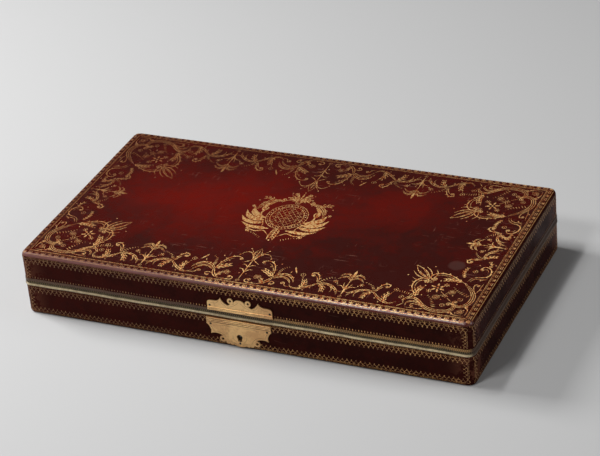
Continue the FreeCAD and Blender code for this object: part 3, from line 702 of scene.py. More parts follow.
# ---- sizes and mesh making ----
@dataclass(frozen=True)
class BoxSizes:
    """The box's own sizes in millimetres, read from the frame."""
    half_x: float
    half_y: float
    top: float
    lid_rim: float
    base_rim: float
    wall: float = 8.0
    leather: float = 1.0
    corner: float = 8.0
    recess: float = 0.22
    braid_reach: float = 3.0

    @classmethod
    def from_frame(cls) -> "BoxSizes":
        """Reads the sizes of the leather covers.

        Returns:
            The sizes.
        """
        low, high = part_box("lid_leather")
        return cls(half_x=high.x / MM, half_y=-low.y / MM, top=high.z / MM, lid_rim=low.z / MM,
                   base_rim=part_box("base_leather")[1].z / MM)

    @property
    def inner_x(self) -> float:
        """Inner face of the end walls."""
        return self.half_x - self.leather - self.wall

    @property
    def inner_y(self) -> float:
        """Inner face of the front and back walls."""
        return self.half_y - self.leather - self.wall


def box_of(node: str) -> tuple[Vector, Vector]:
    """The lowest and the highest corner of a CAD node, in millimetres."""
    low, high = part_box(node)
    return low / MM, high / MM


def ripple(place: Sequence[float]) -> float:
    """How far the hand-pared leather rises over its board.

    Args:
        place: A point in millimetres.

    Returns:
        The rise in millimetres, up to about 0.12 either way.
    """
    x, y, z = place
    long_wave = sin(0.021 * x + 0.7 + 0.3 * sin(0.04 * y)) * cos(0.033 * y + 0.05 * z)
    short_wave = sin(0.11 * x + 0.13 * z + 1.3) * sin(0.094 * y + 0.17 * z + 0.4)
    return 0.075 * long_wave + 0.03 * short_wave


@dataclass(frozen=True)
class Piece:
    """What a piece is called, what it looks like and what it belongs to."""
    name: str
    finish: Material
    slot: Slot
    body: str
    replaces: tuple[str, ...] = ()
    sharp: float = 80.0

    def stand(self, mesh: Mesh) -> None:
        """Puts the piece's mesh into the scene, to ride on its body.

        Args:
            mesh: The mesh.
        """
        mesh.materials.append(self.finish)
        mesh.polygons.foreach_set("use_smooth", [True] * len(mesh.polygons))
        mesh.set_sharp_from_angle(angle=radians(self.sharp))
        made = bpy.data.objects.new(self.name, mesh)
        bpy.context.scene.collection.objects.link(made)
        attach(made, self.body)
        if self.replaces:
            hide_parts(*self.replaces)
        LOG.info("%s: %d faces on %s", self.name, len(mesh.polygons), self.body)


class Draft:
    """Vertices, faces and one value per vertex, gathered into a mesh piece."""

    def __init__(self, value_name: str = "gild") -> None:
        """Starts an empty draft.

        Args:
            value_name: The name of the value that each vertex carries.
        """
        self.vertices: list[Vector] = []
        self.faces: list[tuple[int, ...]] = []
        self.values: list[float] = []
        self.value_name = value_name

    def add(self, points: Iterable[Sequence[float]], value: float = 0.0) -> int:
        """Adds points in millimetres.

        Args:
            points: The points.
            value: The value that they carry.

        Returns:
            The index of the first one.
        """
        first = len(self.vertices)
        self.vertices += [Vector(point) for point in points]
        self.values += [value] * (len(self.vertices) - first)
        return first

    def loft(self, rings: Sequence[Sequence[Sequence[float]]], closed: bool = False,
             values: Sequence[float] = ()) -> None:
        """Joins rings of equal count into a skin.

        Args:
            rings: The rings in order.
            closed: Whether the last ring joins the first; the ends get a face otherwise.
            values: The value of each place round a ring, or of each vertex.
        """
        count = len(rings[0])
        starts = [self.add(ring) for ring in rings]
        if values:
            new = len(rings) * count
            self.values[-new:] = list(values) * (new // len(values))
        pairs = list(zip(starts, starts[1:]))
        if closed:
            pairs.append((starts[-1], starts[0]))
        for low, high in pairs:
            for index in range(count):
                after = (index + 1) % count
                self.faces.append((low + index, low + after, high + after, high + index))
        if not closed:
            self.faces.append(tuple(starts[0] + index for index in reversed(range(count))))
            self.faces.append(tuple(starts[-1] + index for index in range(count)))

    def rough_mesh(self) -> BMesh:
        """The draft's mesh in millimetres, for cutting.

        Returns:
            The mesh.
        """
        mesh = bpy.data.meshes.new("draft")
        mesh.from_pydata(self.vertices, [], self.faces)
        made = bmesh.new()
        made.from_mesh(mesh)
        bpy.data.meshes.remove(mesh)
        return made

    def build(self, spec: Piece) -> None:
        """Makes the piece.

        Args:
            spec: What the piece is.
        """
        mesh = bpy.data.meshes.new(spec.name)
        mesh.from_pydata([vertex * MM for vertex in self.vertices], [], self.faces)
        made = bmesh.new()
        made.from_mesh(mesh)
        bmesh.ops.recalc_face_normals(made, faces=made.faces)
        made.to_mesh(mesh)
        made.free()
        attribute = mesh.attributes.new(self.value_name, "FLOAT", "POINT")
        attribute.data.foreach_set("value", self.values)
        spec.stand(mesh)


# ---- lines ----
def ahead(at: Point, way: Point, reach: float) -> Point:
    """The point so far from another one in a direction."""
    return at[0] + way[0] * reach, at[1] + way[1] * reach


def spoke(at: Point, way: Point, *reaches: float) -> list[Point]:
    """The points so far from another one in a direction."""
    return [ahead(at, way, reach) for reach in reaches]


def turned(way: Point, degrees: float) -> Point:
    """A direction turned to the left by so many degrees."""
    sine, cosine = sin(radians(degrees)), cos(radians(degrees))
    return way[0] * cosine - way[1] * sine, way[0] * sine + way[1] * cosine


def left_of(way: Point) -> Point:
    """The direction square to another one, on its left."""
    return -way[1], way[0]


def around(x: float, y: float, wide: float, tall: float, count: int) -> list[Point]:
    """Points evenly round an upright oval."""
    turns = [2 * pi * index / count for index in range(count)]
    return [(x + wide * cos(turn), y + tall * sin(turn)) for turn in turns]


def bend(knots: Line, step: float = 1.0) -> list[Point]:
    """A smooth line through knots.

    Args:
        knots: The points that the line passes.
        step: About how far apart the line's points are.

    Returns:
        The line's points.
    """
    if len(knots) < 3:
        return list(knots)
    padded = [(2 * knots[0][0] - knots[1][0], 2 * knots[0][1] - knots[1][1]), *knots,
              (2 * knots[-1][0] - knots[-2][0], 2 * knots[-1][1] - knots[-2][1])]
    line = [knots[0]]
    for before, here, there, after in zip(padded, padded[1:], padded[2:], padded[3:]):
        parts = max(2, round(dist(here, there) / step))
        for index in range(1, parts + 1):
            t = index / parts
            line.append(tuple(
                0.5 * (2 * b + (c - a) * t + (2 * a - 5 * b + 4 * c - d) * t * t
                       + (3 * b - a - 3 * c + d) * t * t * t)
                for a, b, c, d in zip(before, here, there, after)))
    return line


def headings(line: Line, closed: bool = False) -> list[Point]:
    """The unit direction of a line at each of its points.

    Args:
        line: The line's points.
        closed: Whether its last point joins the first.

    Returns:
        The directions.
    """
    found = []
    count = len(line)
    for index in range(count):
        before = line[index - 1] if closed or index else line[0]
        after = line[(index + 1) % count] if closed or index + 1 < count else line[-1]
        length = dist(before, after) or 1.0
        found.append(((after[0] - before[0]) / length, (after[1] - before[1]) / length))
    return found


def stations(knots: Line, step: float, shares: Iterable[float]
             ) -> list[tuple[float, Point, Point]]:
    """Places part of the way along a smooth line, by count.

    Args:
        knots: The points that the line passes.
        step: About how far apart the line's points are.
        shares: How far along the places are, from 0 to 1.

    Returns:
        Each place's share, point and heading.
    """
    line = bend(knots, step)
    ways = headings(line)
    found = [(share, round(share * (len(line) - 1))) for share in shares]
    return [(share, line[index], ways[index]) for share, index in found]


# ---- marks of the binder's tools ----
@dataclass(frozen=True)
class Mark:
    """One impression: a line with half widths, or a dot where the line has one point."""
    line: tuple[Point, ...]
    widths: tuple[float, ...]
    closed: bool = False


def even(line: Line, width: float, closed: bool = False) -> Mark:
    """A line of one width."""
    return Mark(tuple(line), (width / 2,) * len(line), closed)


def dot(x: float, y: float, radius: float) -> Mark:
    """A round bead."""
    return Mark(((x, y),), (radius,))


def dots(radius: float, *places: Point) -> list[Mark]:
    """Round beads of one size."""
    return [dot(x, y, radius) for x, y in places]


def straight(start: float, end: float, height: float, width: float) -> Mark:
    """A level ruled line, cut into short parts so that it follows the leather.

    Args:
        start: Where it starts.
        end: Where it ends.
        height: How high it lies.
        width: Its width.

    Returns:
        The mark.
    """
    count = max(2, round((end - start) / 6))
    return even([(start + (end - start) * index / count, height) for index in range(count + 1)],
                width)


def tapered(line: Line, width: float, start: float = 0.5, end: float = 0.2,
            swell: float = 0.0, rising: float = 0.2, falling: float = 0.35) -> Mark:
    """A line of points as a mark that tapers at its ends.

    Args:
        line: Its points.
        width: Its full width.
        start: Its width at the start, as a share.
        end: Its width at the end, as a share.
        swell: How much wider its middle is, as a share.
        rising: The share of its length over which it widens.
        falling: The share of its length over which it narrows.

    Returns:
        The mark.
    """
    widths = []
    for index in range(len(line)):
        share = index / (len(line) - 1)
        here = min(1.0, start + (1 - start) * share / rising,
                   end + (1 - end) * (1 - share) / falling)
        widths.append(width / 2 * here * (1 + swell * sin(pi * share)))
    return Mark(tuple(line), tuple(widths))


def thirds(start: Point, end: Point) -> list[Point]:
    """A straight line in three parts."""
    return [(start[0] + (end[0] - start[0]) * share, start[1] + (end[1] - start[1]) * share)
            for share in (0.0, 0.33, 0.67, 1.0)]


def stroke(knots: Line, width: float, *shape: float, step: float = 1.0) -> Mark:
    """A smooth line through knots, or a straight one, that tapers in the shape of tapered."""
    line = bend(knots, step) if len(knots) > 2 else thirds(*knots)
    return tapered(line, width, *shape)


def strokes(*rows: tuple) -> list[Mark]:
    """Strokes from rows of what each is drawn with."""
    return [stroke(*row) for row in rows]


def ring(x: float, y: float, radius: float, width: float = 0.7, centre: float = 0.6) -> list[Mark]:
    """A ring with a dot in its middle."""
    return [even(around(x, y, radius, radius, 10), width, True), dot(x, y, centre)]


def scroll(knots: Line, width: float, side: int, radius: float = 2.2,
           end: float = 0.25, swell: float = 0.25) -> list[Mark]:
    """A line that starts in a rolled-up eye.

    Args:
        knots: The line's points, from the eye on.
        width: Its full width.
        side: 1 where the eye rolls up on the left of the line's start, -1 on the right.
        radius: The radius of the roll.
        end: The line's width at its far end, as a share.
        swell: How much wider its middle is, as a share.

    Returns:
        The marks.
    """
    turns, count = 1.15, 13
    line = bend(knots)
    middle = ahead(knots[0], left_of(headings(line)[0]), side * radius)
    first = atan2(knots[0][1] - middle[1], knots[0][0] - middle[0])
    curl = []
    for index in range(count):
        share = index / count
        angle = first - side * (1 - share) * turns * 2 * pi
        curl.append(ahead(middle, (cos(angle), sin(angle)), radius * (0.3 + 0.7 * share)))
    return [tapered(curl + line, width, 0.55, end, swell, 0.5, 0.4), dot(*middle, radius * 0.34)]


def ribs(knots: Line, count: int, first: float, last: float, width: float = 1.15
         ) -> list[Mark]:
    """A row of short fat beads that lie across a line and grow along it.

    Args:
        knots: The line's points.
        count: How many beads.
        first: The length of the first bead.
        last: The length of the last one.
        width: The width of each.

    Returns:
        The marks.
    """
    marks = []
    for share, at, way in stations(knots, 0.4, (index / (count - 1) for index in range(count))):
        reach = (first + (last - first) * share) / 2
        marks.append(stroke(spoke(at, turned(way, 78), -reach, reach),
                            width * (0.75 + 0.35 * share), 0.7, 0.7))
    return marks


def leaf(knots: Line, reach: float, lobes: int, width: float = 0.8,
         spread: float = 48.0, spine: float = 0.9) -> list[Mark]:
    """An acanthus leaf: a spine with curved lobes on both sides.

    Args:
        knots: The spine's points, from root to tip.
        reach: The length of the longest lobes.
        lobes: How many lobes each side has.
        width: The width of a lobe.
        spread: The angle in degrees at which the lobes leave.
        spine: The spine's width.

    Returns:
        The marks.
    """
    marks = [stroke(knots, spine, 0.7, 0.15, 0.2)]
    for share, at, way in stations(knots, 0.6, ((index + 0.35) / lobes for index in range(lobes))):
        length = reach * (0.55 + 0.45 * sin(pi * (0.2 + 0.7 * share)))
        for side in (-1, 1):
            bow = ahead(at, turned(way, side * (spread + 24)), length * 0.5)
            tip = ahead(at, turned(way, side * spread * 0.8), length)
            marks.append(stroke([at, bow, tip], width, 0.8, 0.1, 0.7, step=0.8))
    return marks


def barbs(knots: Line, shares: Sequence[float], side: int, reach: float,
          width: float = 1.3) -> list[Mark]:
    """Leaf tips that grow out of a line on one side.

    Args:
        knots: The line's points, in the way that it grows.
        shares: How far along it each tip leaves.
        side: 1 for the left side, -1 for the right.
        reach: How long the tips are.
        width: How wide they are.

    Returns:
        The marks.
    """
    return [stroke([at, ahead(at, turned(way, side * 18), reach * 0.6),
                    ahead(at, turned(way, side * 42), reach)], width, 0.9, 0.1, 0.3, step=0.8)
            for _, at, way in stations(knots, 0.8, shares)]


def flower(x: float, y: float, radius: float, petals: int, start: float = 0.0) -> list[Mark]:
    """An open flower: outlined petals round a ringed eye.

    Args:
        x: Its middle across.
        y: Its middle up.
        radius: Its radius.
        petals: How many petals.
        start: The angle of the first petal in degrees.

    Returns:
        The marks.
    """
    marks = ring(x, y, radius * 0.22, radius * 0.12, radius * 0.1)
    half = radius * sin(pi / petals) * 0.82
    for index in range(petals):
        way = turned((1.0, 0.0), start + 360 * index / petals)
        outline = [(0.3, 0.0), (0.55, 0.72), (0.82, 1.0), (1.0, 0.45), (1.0, -0.45), (0.82, -1.0),
                   (0.55, -0.72)]
        marks.append(even([ahead(ahead((x, y), way, radius * along), left_of(way), half * out)
                           for along, out in outline], radius * 0.16, True))
        marks.append(stroke(spoke((x, y), way, radius * 0.36, radius * 0.86), radius * 0.26,
                            0.8, 0.4))
    return marks


def blossom(x: float, y: float, radius: float, petals: int, start: float = 0.0,
            eye: float = 0.2, reaches: Sequence[float] = (0.36, 0.7, 1.0),
            shape: Sequence[float] = (0.52, 0.45, 0.3)) -> list[Mark]:
    """An open flower of solid petals round a bead.

    Args:
        x: Its middle across.
        y: Its middle up.
        radius: Its radius.
        petals: How many petals.
        start: The angle of the first petal in degrees.
        eye: The bead's radius, as a share of the flower's.
        reaches: How far out a petal's knots lie, as shares of the radius.
        shape: A petal's width as a share of the radius, and its shape.

    Returns:
        The marks.
    """
    marks = [dot(x, y, radius * eye)]
    for index in range(petals):
        way = turned((1.0, 0.0), start + 360 / petals * index)
        marks.append(stroke(spoke((x, y), way, *(radius * reach for reach in reaches)),
                            radius * shape[0], *shape[1:]))
    return marks


def star(x: float, y: float, radius: float, rays: int = 6) -> list[Mark]:
    """A small blossom of short rays."""
    return blossom(x, y, radius, rays, degrees(0.3), 0.34, (0.4, 1.0), (0.5, 0.6, 0.5, 0.3))


def plume(knots: Line, body: float, width: float = 1.2, lines: int = 2) -> list[Mark]:
    """A curling leaf: lines that part from its root and meet at its tip.

    Args:
        knots: Its middle line, from the root on.
        body: How far apart the outer lines swing.
        width: The width of each line.
        lines: How many lines.

    Returns:
        The marks.
    """
    line = bend(knots, 1.1)
    marks = []
    for lane in range(lines):
        offset = body * (lane / (lines - 1) - 0.5)
        track = []
        for index, (at, way) in enumerate(zip(line, headings(line))):
            share = 0.1 + 0.9 * index / (len(line) - 1)
            swing = offset * max(0.0, sin(pi * share)) ** 0.7
            track.append(ahead(at, left_of(way), swing))
        marks.append(tapered(track, width, 0.7, 0.25, 0.15))
    return marks


def crescent(knots: Line, body: float, side: int) -> list[Mark]:
    """A thick horn: a curling leaf of three lines that ends in an eye on its left (1) or right."""
    return scroll(knots[:2], 1.4, side, 2.6, 0.9, 0.0) + plume(knots, body, 1.15, 3)


def moved(marks: Iterable[Mark], change: Callable[[float, float], Point]) -> list[Mark]:
    """Marks with every point changed."""
    return [Mark(tuple(change(x, y) for x, y in mark.line), mark.widths, mark.closed)
            for mark in marks]


def with_mirror(marks: list[Mark]) -> list[Mark]:
    """Marks and their mirror image across the middle line."""
    return marks + moved(marks, lambda x, y: (-x, y))


# ---- the ornament ----
def fleuron(flank: bool) -> list[Mark]:
    """A bud on a stem that springs from an edge, with scrolls on both sides.

    Args:
        flank: Whether the long side scrolls that run along the edge are there.

    Returns:
        The marks; x runs along the edge and y away from it.
    """
    half = plume([(0.2, 48), (4.4, 51.8), (9.4, 50.8), (12.8, 46.8)], 1.5, 1.1)
    half += plume([(0, 42), (4.6, 46.8), (9.2, 45.6), (13.2, 41.6)], 1.5, 1.1)
    half += [stroke([(0.6, 46), (4, 50), (6.2, 55)], 1.3),
             stroke([(0.8, 25.4), (4.6, 30.2), (10, 31)], 1.9),
             stroke([(0.6, 27), (3.2, 31.4), (4.2, 36.6)], 1.4),
             stroke([(1, 22), (4.2, 20.6), (6.6, 22.6)], 1.1), dot(10.6, 33.8, 0.9)]
    half += star(13.4, 36.6, 2.7)
    half += ribs([(16.4, 42.2), (20.6, 40.4), (24.8, 36.6), (27.8, 31.6)], 7, 1.6, 3.8, 1.3)
    rising = [(29.4, 28.2), (30.4, 35.4), (32.8, 42), (37, 45.4), (40.6, 43.6), (39.8, 40.2)]
    half += scroll(rising[::-1], 1.9, 1, 1.9)
    half += strokes(([(30.6, 30.4), (32.4, 36), (35.4, 40.4)], 1.7))
    half += barbs(rising, (0.25, 0.45, 0.62), 1, 3.6)
    arching = [(29.4, 27.8), (22.6, 29.8), (15.8, 28.2), (10.2, 24.4), (6.4, 19.4), (5.4, 14.4)]
    half += plume(arching, 2.2, 1.35) + barbs(arching, (0.3, 0.5, 0.68), 1, 3.6)
    half += leaf([(26.8, 27.2), (22.2, 23), (20.6, 14.8)], 4.4, 4, 1.25, 40, 1.8)
    half += strokes(([(15.2, 26.4), (12, 21.4), (12.8, 16)], 1.3))
    if flank:
        trailing = [(29.2, 27.6), (35.8, 20.8), (42.8, 15.8), (49.4, 14.2), (55, 18.4)]
        half += plume(trailing, 2, 1.35) + barbs(trailing, (0.3, 0.55), -1, 3.4)
        half += leaf([(43.4, 16.6), (41.6, 23.4), (44, 31.6)], 4.8, 4, 1.25, 38, 2.2)
        half += ring(48.2, 38.6, 2.4, 0.9, 0.8)
        half += [stroke([(47.4, 35.4), (45.4, 31.6)], 0.8), dot(33.4, 19.2, 0.9),
                 dot(38.8, 13.4, 0.8)]
    marks = with_mirror(half)
    marks += [stroke([(0, 48.8), (0, 54), (0, 59.6)], 4.2, 0.4, 0.1, 0.2),
              stroke([(0, 50), (0, 30)], 1.4, 0.6, 0.8),
              stroke([(0, 34), (0, 25), (0, 15.4)], 3.4, 0.4, 0.2, 0.1)]
    return marks + ring(0, 12.8, 1.7, 0.8)


def edge_centre() -> list[Mark]:
    """The larger group in the middle of a long side: a lily between paired arches.

    Returns:
        The marks; x runs along the edge and y away from it.
    """
    half = [stroke([(0.8, 50.6), (3, 57.8), (7.4, 63.6), (12.4, 63.4), (16.4, 58.4)], 1.6, 0.6,
                   0.4),
            dot(16.8, 57.2, 1.2), dot(9.8, 70.2, 0.9),
            stroke([(0.6, 51.4), (3, 60), (6.6, 66), (9.6, 69.2)], 1.3, 0.6, 0.4),
            stroke([(0.2, 53), (3.4, 62), (2.4, 68), (0, 73.2)], 1.2, 0.6, 0.3),
            stroke([(0.6, 51), (4.6, 47.2), (8.6, 44.4)], 1.5, 0.7, 0.3, 0.3),
            stroke([(0.4, 37.4), (3.8, 41.2), (7.4, 40.8)], 1.5, 0.7, 0.3, 0.3),
            stroke([(0.4, 28.4), (3.4, 32.8), (7.4, 33.4)], 1.5, 0.7, 0.3, 0.3),
            dot(3.6, 25.4, 0.9), dot(31, 51.4, 1), dot(22.4, 44, 0.9),
            stroke([(46.6, 49), (48.6, 44.8), (51.4, 39.6)], 2.7, 0.6, 0.15, 0.2),
            stroke([(46, 41.8), (45.2, 38.4)], 1.5)]
    half += flower(16.6, 23.4, 3.6, 5, 12)
    rising = [(31, 26.6), (29.8, 33.4), (27.8, 41.4), (23.8, 49.6), (17.4, 53.4), (11.8, 51.6)]
    half += scroll(rising[::-1], 1.9, -1, 2) + barbs(rising, (0.3, 0.5, 0.7), -1, 3.8)
    half += strokes(([(29, 31.4), (26.6, 39.4), (22.6, 46.2), (18.2, 49.6)], 1))
    half += leaf([(30.2, 28), (24.4, 33), (17.2, 37.4)], 5.4, 4, 1.5, 36, 2.4)
    half += ribs([(40.2, 48.2), (36.6, 45.6), (34.8, 40.4), (34.4, 34)], 8, 1.6, 3.8, 1.3)
    arching = [(31.2, 26.8), (35.4, 32), (41.6, 34.8), (48.2, 32.6), (52.6, 27.6), (54.2, 23)]
    half += plume(arching, 2.4, 1.4) + barbs(arching, (0.3, 0.5, 0.68), 1, 3.6)
    half += plume([(32.8, 25.6), (38.4, 29.4), (44.4, 29), (49.2, 25), (52.2, 20)], 1.7, 1.2)
    half += scroll([(46.8, 19.8), (47.8, 16.4), (51.4, 15), (56.4, 15.6)], 1.3, -1, 2.2)
    half += plume([(31, 26), (28.8, 19.6), (25, 14.2), (20.4, 11.6)], 2.4, 1.5)
    half += scroll([(35, 14.2), (36.8, 17.4), (33.4, 19.4), (28.8, 17), (25.4, 13.8)], 1.4, 1, 1.8)
    half += leaf([(24.8, 14.8), (22.4, 18.4), (22.2, 22.8)], 3.2, 3, 1.1, 40, 1.5)
    half += scroll([(9.4, 18), (6.6, 15.6), (8.2, 12.2), (14, 11.4), (20.6, 11.6)], 1.6, 1, 1.9)
    half += barbs([(20.6, 11.6), (14, 11.4), (8.2, 12.2)], (0.3, 0.6), -1, 3.2, 1.1)
    marks = with_mirror(half)
    marks += [stroke([(0, 54), (0, 63), (0, 71)], 1.2, 0.6, 0.3, 0.2),
              stroke([(0, 53), (0, 34), (0, 15.4)], 1.7, 0.5, 0.5, 0.3)]
    for height in (57, 60.4, 63.8):
        marks.append(stroke([(-2.4, height + 1.2), (0, height - 0.6), (2.4, height + 1.2)], 0.8))
    return marks + ring(0, 12.8, 1.7, 0.8)


def corner_half(short: bool) -> list[Mark]:
    """Half of the group in a corner, along one of its two edges.

    Args:
        short: Whether the edge is a short one, which a further scroll then follows.

    Returns:
        The marks; x runs along the edge from the corner and y away from it.
    """
    half = crescent([(31.2, 29.8), (27, 27), (26.6, 21.6), (29.6, 16.8), (36, 14.2),
                     (44, 14), (52, 17), (60, 23.6), (67, 30.8)], 4.2, 1)
    half += ribs([(56.4, 36.8), (51.6, 31.6), (48, 25.4), (45.4, 19.8)], 8, 1.5, 4.2, 1.3)
    half += ring(38, 24.6, 2.3, 0.9, 0.8)
    half += star(58.8, 45.2, 2.9) + flower(48.4, 36.4, 3.5, 5, 20)
    half += [stroke([(41.6, 41.6), (45.4, 40.6), (47.2, 38.8)], 0.9), dot(42.6, 33.6, 0.9),
             dot(64.6, 53, 0.9), dot(62.6, 36.4, 0.9), dot(24.6, 12.6, 0.9), dot(21.6, 15.2, 0.8)]
    rising = [(67.2, 31.2), (72.2, 39.4), (76.4, 47.4), (77.4, 55), (75.2, 61.6), (70.4, 65),
              (66, 64), (64.2, 60.6)]
    half += scroll(rising[::-1], 2, -1, 2.3) + barbs(rising, (0.2, 0.36, 0.52), -1, 4.4)
    half += strokes(([(71, 41.4), (73.8, 48), (74.4, 54.4), (72.4, 59.4), (68.8, 61.8)], 1))
    half += leaf([(67.8, 33.2), (69.4, 41), (67.2, 50.8)], 5.2, 5, 1.4, 38, 2.6)
    half += scroll([(66.8, 15.8), (66.6, 19), (61.8, 19.4), (56.4, 17.2), (52.4, 14.8)], 1.3, 1,
                   1.6)
    half += [stroke([(51.6, 14.6), (58, 12.8), (64.6, 12.6), (71, 11.8)], 1.3),
             stroke([(74.6, 18), (76.8, 14.8), (79.2, 12)], 1.3)]
    if short:
        half += scroll([(94.6, 23.2), (98.6, 20.6), (97.4, 15.2), (91.6, 11.8), (84.4, 12),
                        (80.6, 16.4), (79.4, 21.8), (75.8, 26.4), (70, 28.6)], 1.9, -1, 2)
        half += barbs([(79.4, 21.8), (80.6, 16.4), (84.4, 12), (91.6, 11.8), (97.4, 15.2)],
                      (0.3, 0.5, 0.7), -1, 3.2)
        half += [stroke([(70.6, 26.2), (75.2, 23.6), (77, 18.6), (76.4, 12.8)], 1.3),
                 stroke([(90.6, 14.6), (94.2, 16.4), (95, 19.4)], 1), dot(74.4, 17.1, 0.8),
                 dot(100.6, 26.4, 0.9), dot(104, 11.4, 0.9), dot(58.8, 11.2, 0.9)]
        half += leaf([(75.6, 33.4), (85, 36.8), (94.8, 35.4)], 3, 6, 1.1, 40, 1.6)
        half += ring(88.7, 27.1, 2.3, 0.9, 0.8)
        half += leaf([(98.8, 15.8), (104.4, 15.6), (109.6, 19.2)], 3, 3, 1.1, 40, 1.4)
    else:
        folding = [(54.4, 18.4), (60.6, 25), (67.4, 29.4), (73.6, 28.2), (76.2, 23.2), (74.8, 18.6)]
        half += plume(folding, 2.4, 1.4) + barbs(folding, (0.45, 0.62, 0.78), 1, 3.4)
        half += plume([(55, 17.4), (62, 22.8), (68.2, 23.6), (72, 19.4), (71.4, 14.8)], 1.7, 1.2)
        half += ribs([(87.2, 37), (80.6, 36.6), (75, 35), (70.6, 32.8)], 8, 1.9, 4.8, 1.35)
        half += ring(79.9, 28, 2.4, 0.9, 0.8)
    half += scroll([(15.2, 26), (12, 22.8), (11.4, 17.4), (11.8, 12.6)], 1.4, -1, 1.7)
    return half


def corner_group() -> list[Mark]:
    """The group in a corner, with a lily on its diagonal.

    Returns:
        The marks; x and y run from the two edges.
    """
    marks = corner_half(False) + moved(corner_half(True), lambda x, y: (y, x))
    marks += blossom(52, 52, 7.4, 6, 20) + flower(17.8, 17.8, 3.4, 5, 15)
    marks += ring(61.6, 61.6, 2, 0.8, 0.7) + blossom(40.4, 40.4, 3.2, 5, 45)
    marks += [stroke([(46.6, 46.6), (42.8, 42.8)], 1.1, 0.8, 0.8),
              stroke([(37.6, 37.6), (34.6, 34.8), (31.6, 32.6)], 1.1, 0.6, 0.4),
              dot(87.4, 66.8, 0.9), dot(66.8, 87.4, 0.9)]
    petals = [stroke([(65.2, 65), (69.6, 74), (76.6, 80.8), (85.4, 85.4)], 1.9, 0.6, 0.4),
              stroke([(65, 64.2), (73.4, 65.6), (79.6, 69), (84.6, 74.6)], 1.9, 0.6, 0.4),
              stroke([(64.4, 63.2), (70.6, 60.6), (76.8, 60.6), (81.6, 63.6)], 1.8, 0.6, 0.4),
              stroke([(68.6, 68.2), (74.4, 71.6), (79, 76.2)], 1.3, 0.7, 0.4)]
    return marks + petals + moved(petals, lambda x, y: (y, x))


def cartouche() -> list[Mark]:
    """The medallion in the middle of the lid: a latticed oval under a palmette, with scrolls.

    Returns:
        The marks, from the medallion's middle.
    """
    wide, tall, pitch, steep = 17.0, 20.0, 5.6, 1.15
    marks = [even(around(0, 0, wide, tall, 44), 1.4, True),
             even(around(0, 0, wide + 4.2, tall + 4.2, 48), 1.1, True)]
    marks += dots(0.85, *around(0, 0, wide + 2.1, tall + 2.1, 36))

    def within(x: float, y: float, margin: float) -> bool:
        """Whether a point lies so far inside the oval."""
        return (x / (wide - margin)) ** 2 + (y / (tall - margin)) ** 2 < 1

    for slope in (-steep, steep):
        for index in range(-6, 7):
            line = [(x, slope * (x - index * pitch))
                    for x in (wide * (step / 40 - 1) for step in range(81))]
            inside = [at for at in line if within(*at, 1.2)]
            if len(inside) > 2:
                marks.append(stroke([inside[0], inside[-1]], 0.55, 0.8, 0.8))
    for column in (-2, 0, 2):
        for row in range(-6, 7, 2):
            x, y = column * pitch, row * pitch * steep / 2
            if within(x, y, 3.0):
                marks += star(x, y + pitch * steep / 2, 1.3, 4)
    half = scroll([(25.6, 10), (28.6, 3), (26.2, -6.4), (20.4, -14.6), (18, -22.6), (22, -29.4)],
                  2.2, 1, 3.2)
    half += crescent([(16, 29), (21, 28.6), (28.6, 24), (34.2, 15.6), (36, 6.4)], 4.2, 1)
    blade = (0.35, 0.1, 0.45)
    half += strokes(([(20.6, -7), (29, -5.4), (36.4, 1.6), (39.6, 11.4)], 6.6, *blade),
                    ([(20, -11.6), (31, -11.6), (40, -6), (45, 3)], 6.0, *blade),
                    ([(18.6, -16.2), (29.6, -18.6), (39.4, -15.6), (46, -8.4)], 5.4, *blade),
                    ([(9.4, -26), (20, -26.6), (31, -26), (41, -20.4)], 5.0, *blade),
                    ([(22.4, 24.2), (28.4, 17.6), (30, 9), (27.4, 2.4)], 3.6, 0.3, 0.2, 0.4))
    half += leaf([(24.6, 26), (30.6, 30.8), (37.6, 30.6)], 4.6, 4, 1.0, 42, 1.1)
    half += scroll([(27.4, -31.8), (21, -33.6), (13.4, -30.8), (8.6, -34), (3, -40.4)], 1.9, 1, 2.6)
    half += scroll([(8.4, 43.4), (4.8, 40.6), (5.6, 35.2), (12.4, 31), (17, 25.6)], 1.7, -1, 2.2)
    half += leaf([(0.6, 30.4), (7.6, 33.4), (11.6, 38.6)], 3.4, 4, 0.9, 40, 1.0)
    half += ribs([(12, -44), (16.6, -40.4), (22.2, -37.6), (29, -36.4)], 8, 3.0, 1.2, 1.0)
    half += ring(33.6, 20.6, 1.9) + star(41.6, 12.0, 2.3) + star(30.4, -29.6, 2.2)
    half += [dot(41, -6, 1.0), *dots(0.9, (43.4, -12), (12.4, 45.6), (40.6, 24.4))]
    marks += with_mirror(half)
    for turn in (-64, -42, -21, 0, 21, 42, 64):
        across, up = turned((0, 1), turn)
        reach = 17.4 - abs(turn) * 0.07
        marks.append(stroke([(across * 2.4, 30 + up * 2.4),
                             (across * reach * 0.7, 30 + up * reach * 0.75),
                             (across * reach, 30 + up * reach)], 1.9, 0.3, 0.7, 0.4))
        marks.append(dot(across * (reach + 2), 30 + up * (reach + 2), 0.9))
    marks += leaf([(0, -24.4), (0, -34), (0, -44)], 7.4, 6, 1.1, 42, 1.4)
    return marks + ring(0, 28.4, 2.4, 0.9, 0.9) + [dot(0, -46.4, 1.2)]


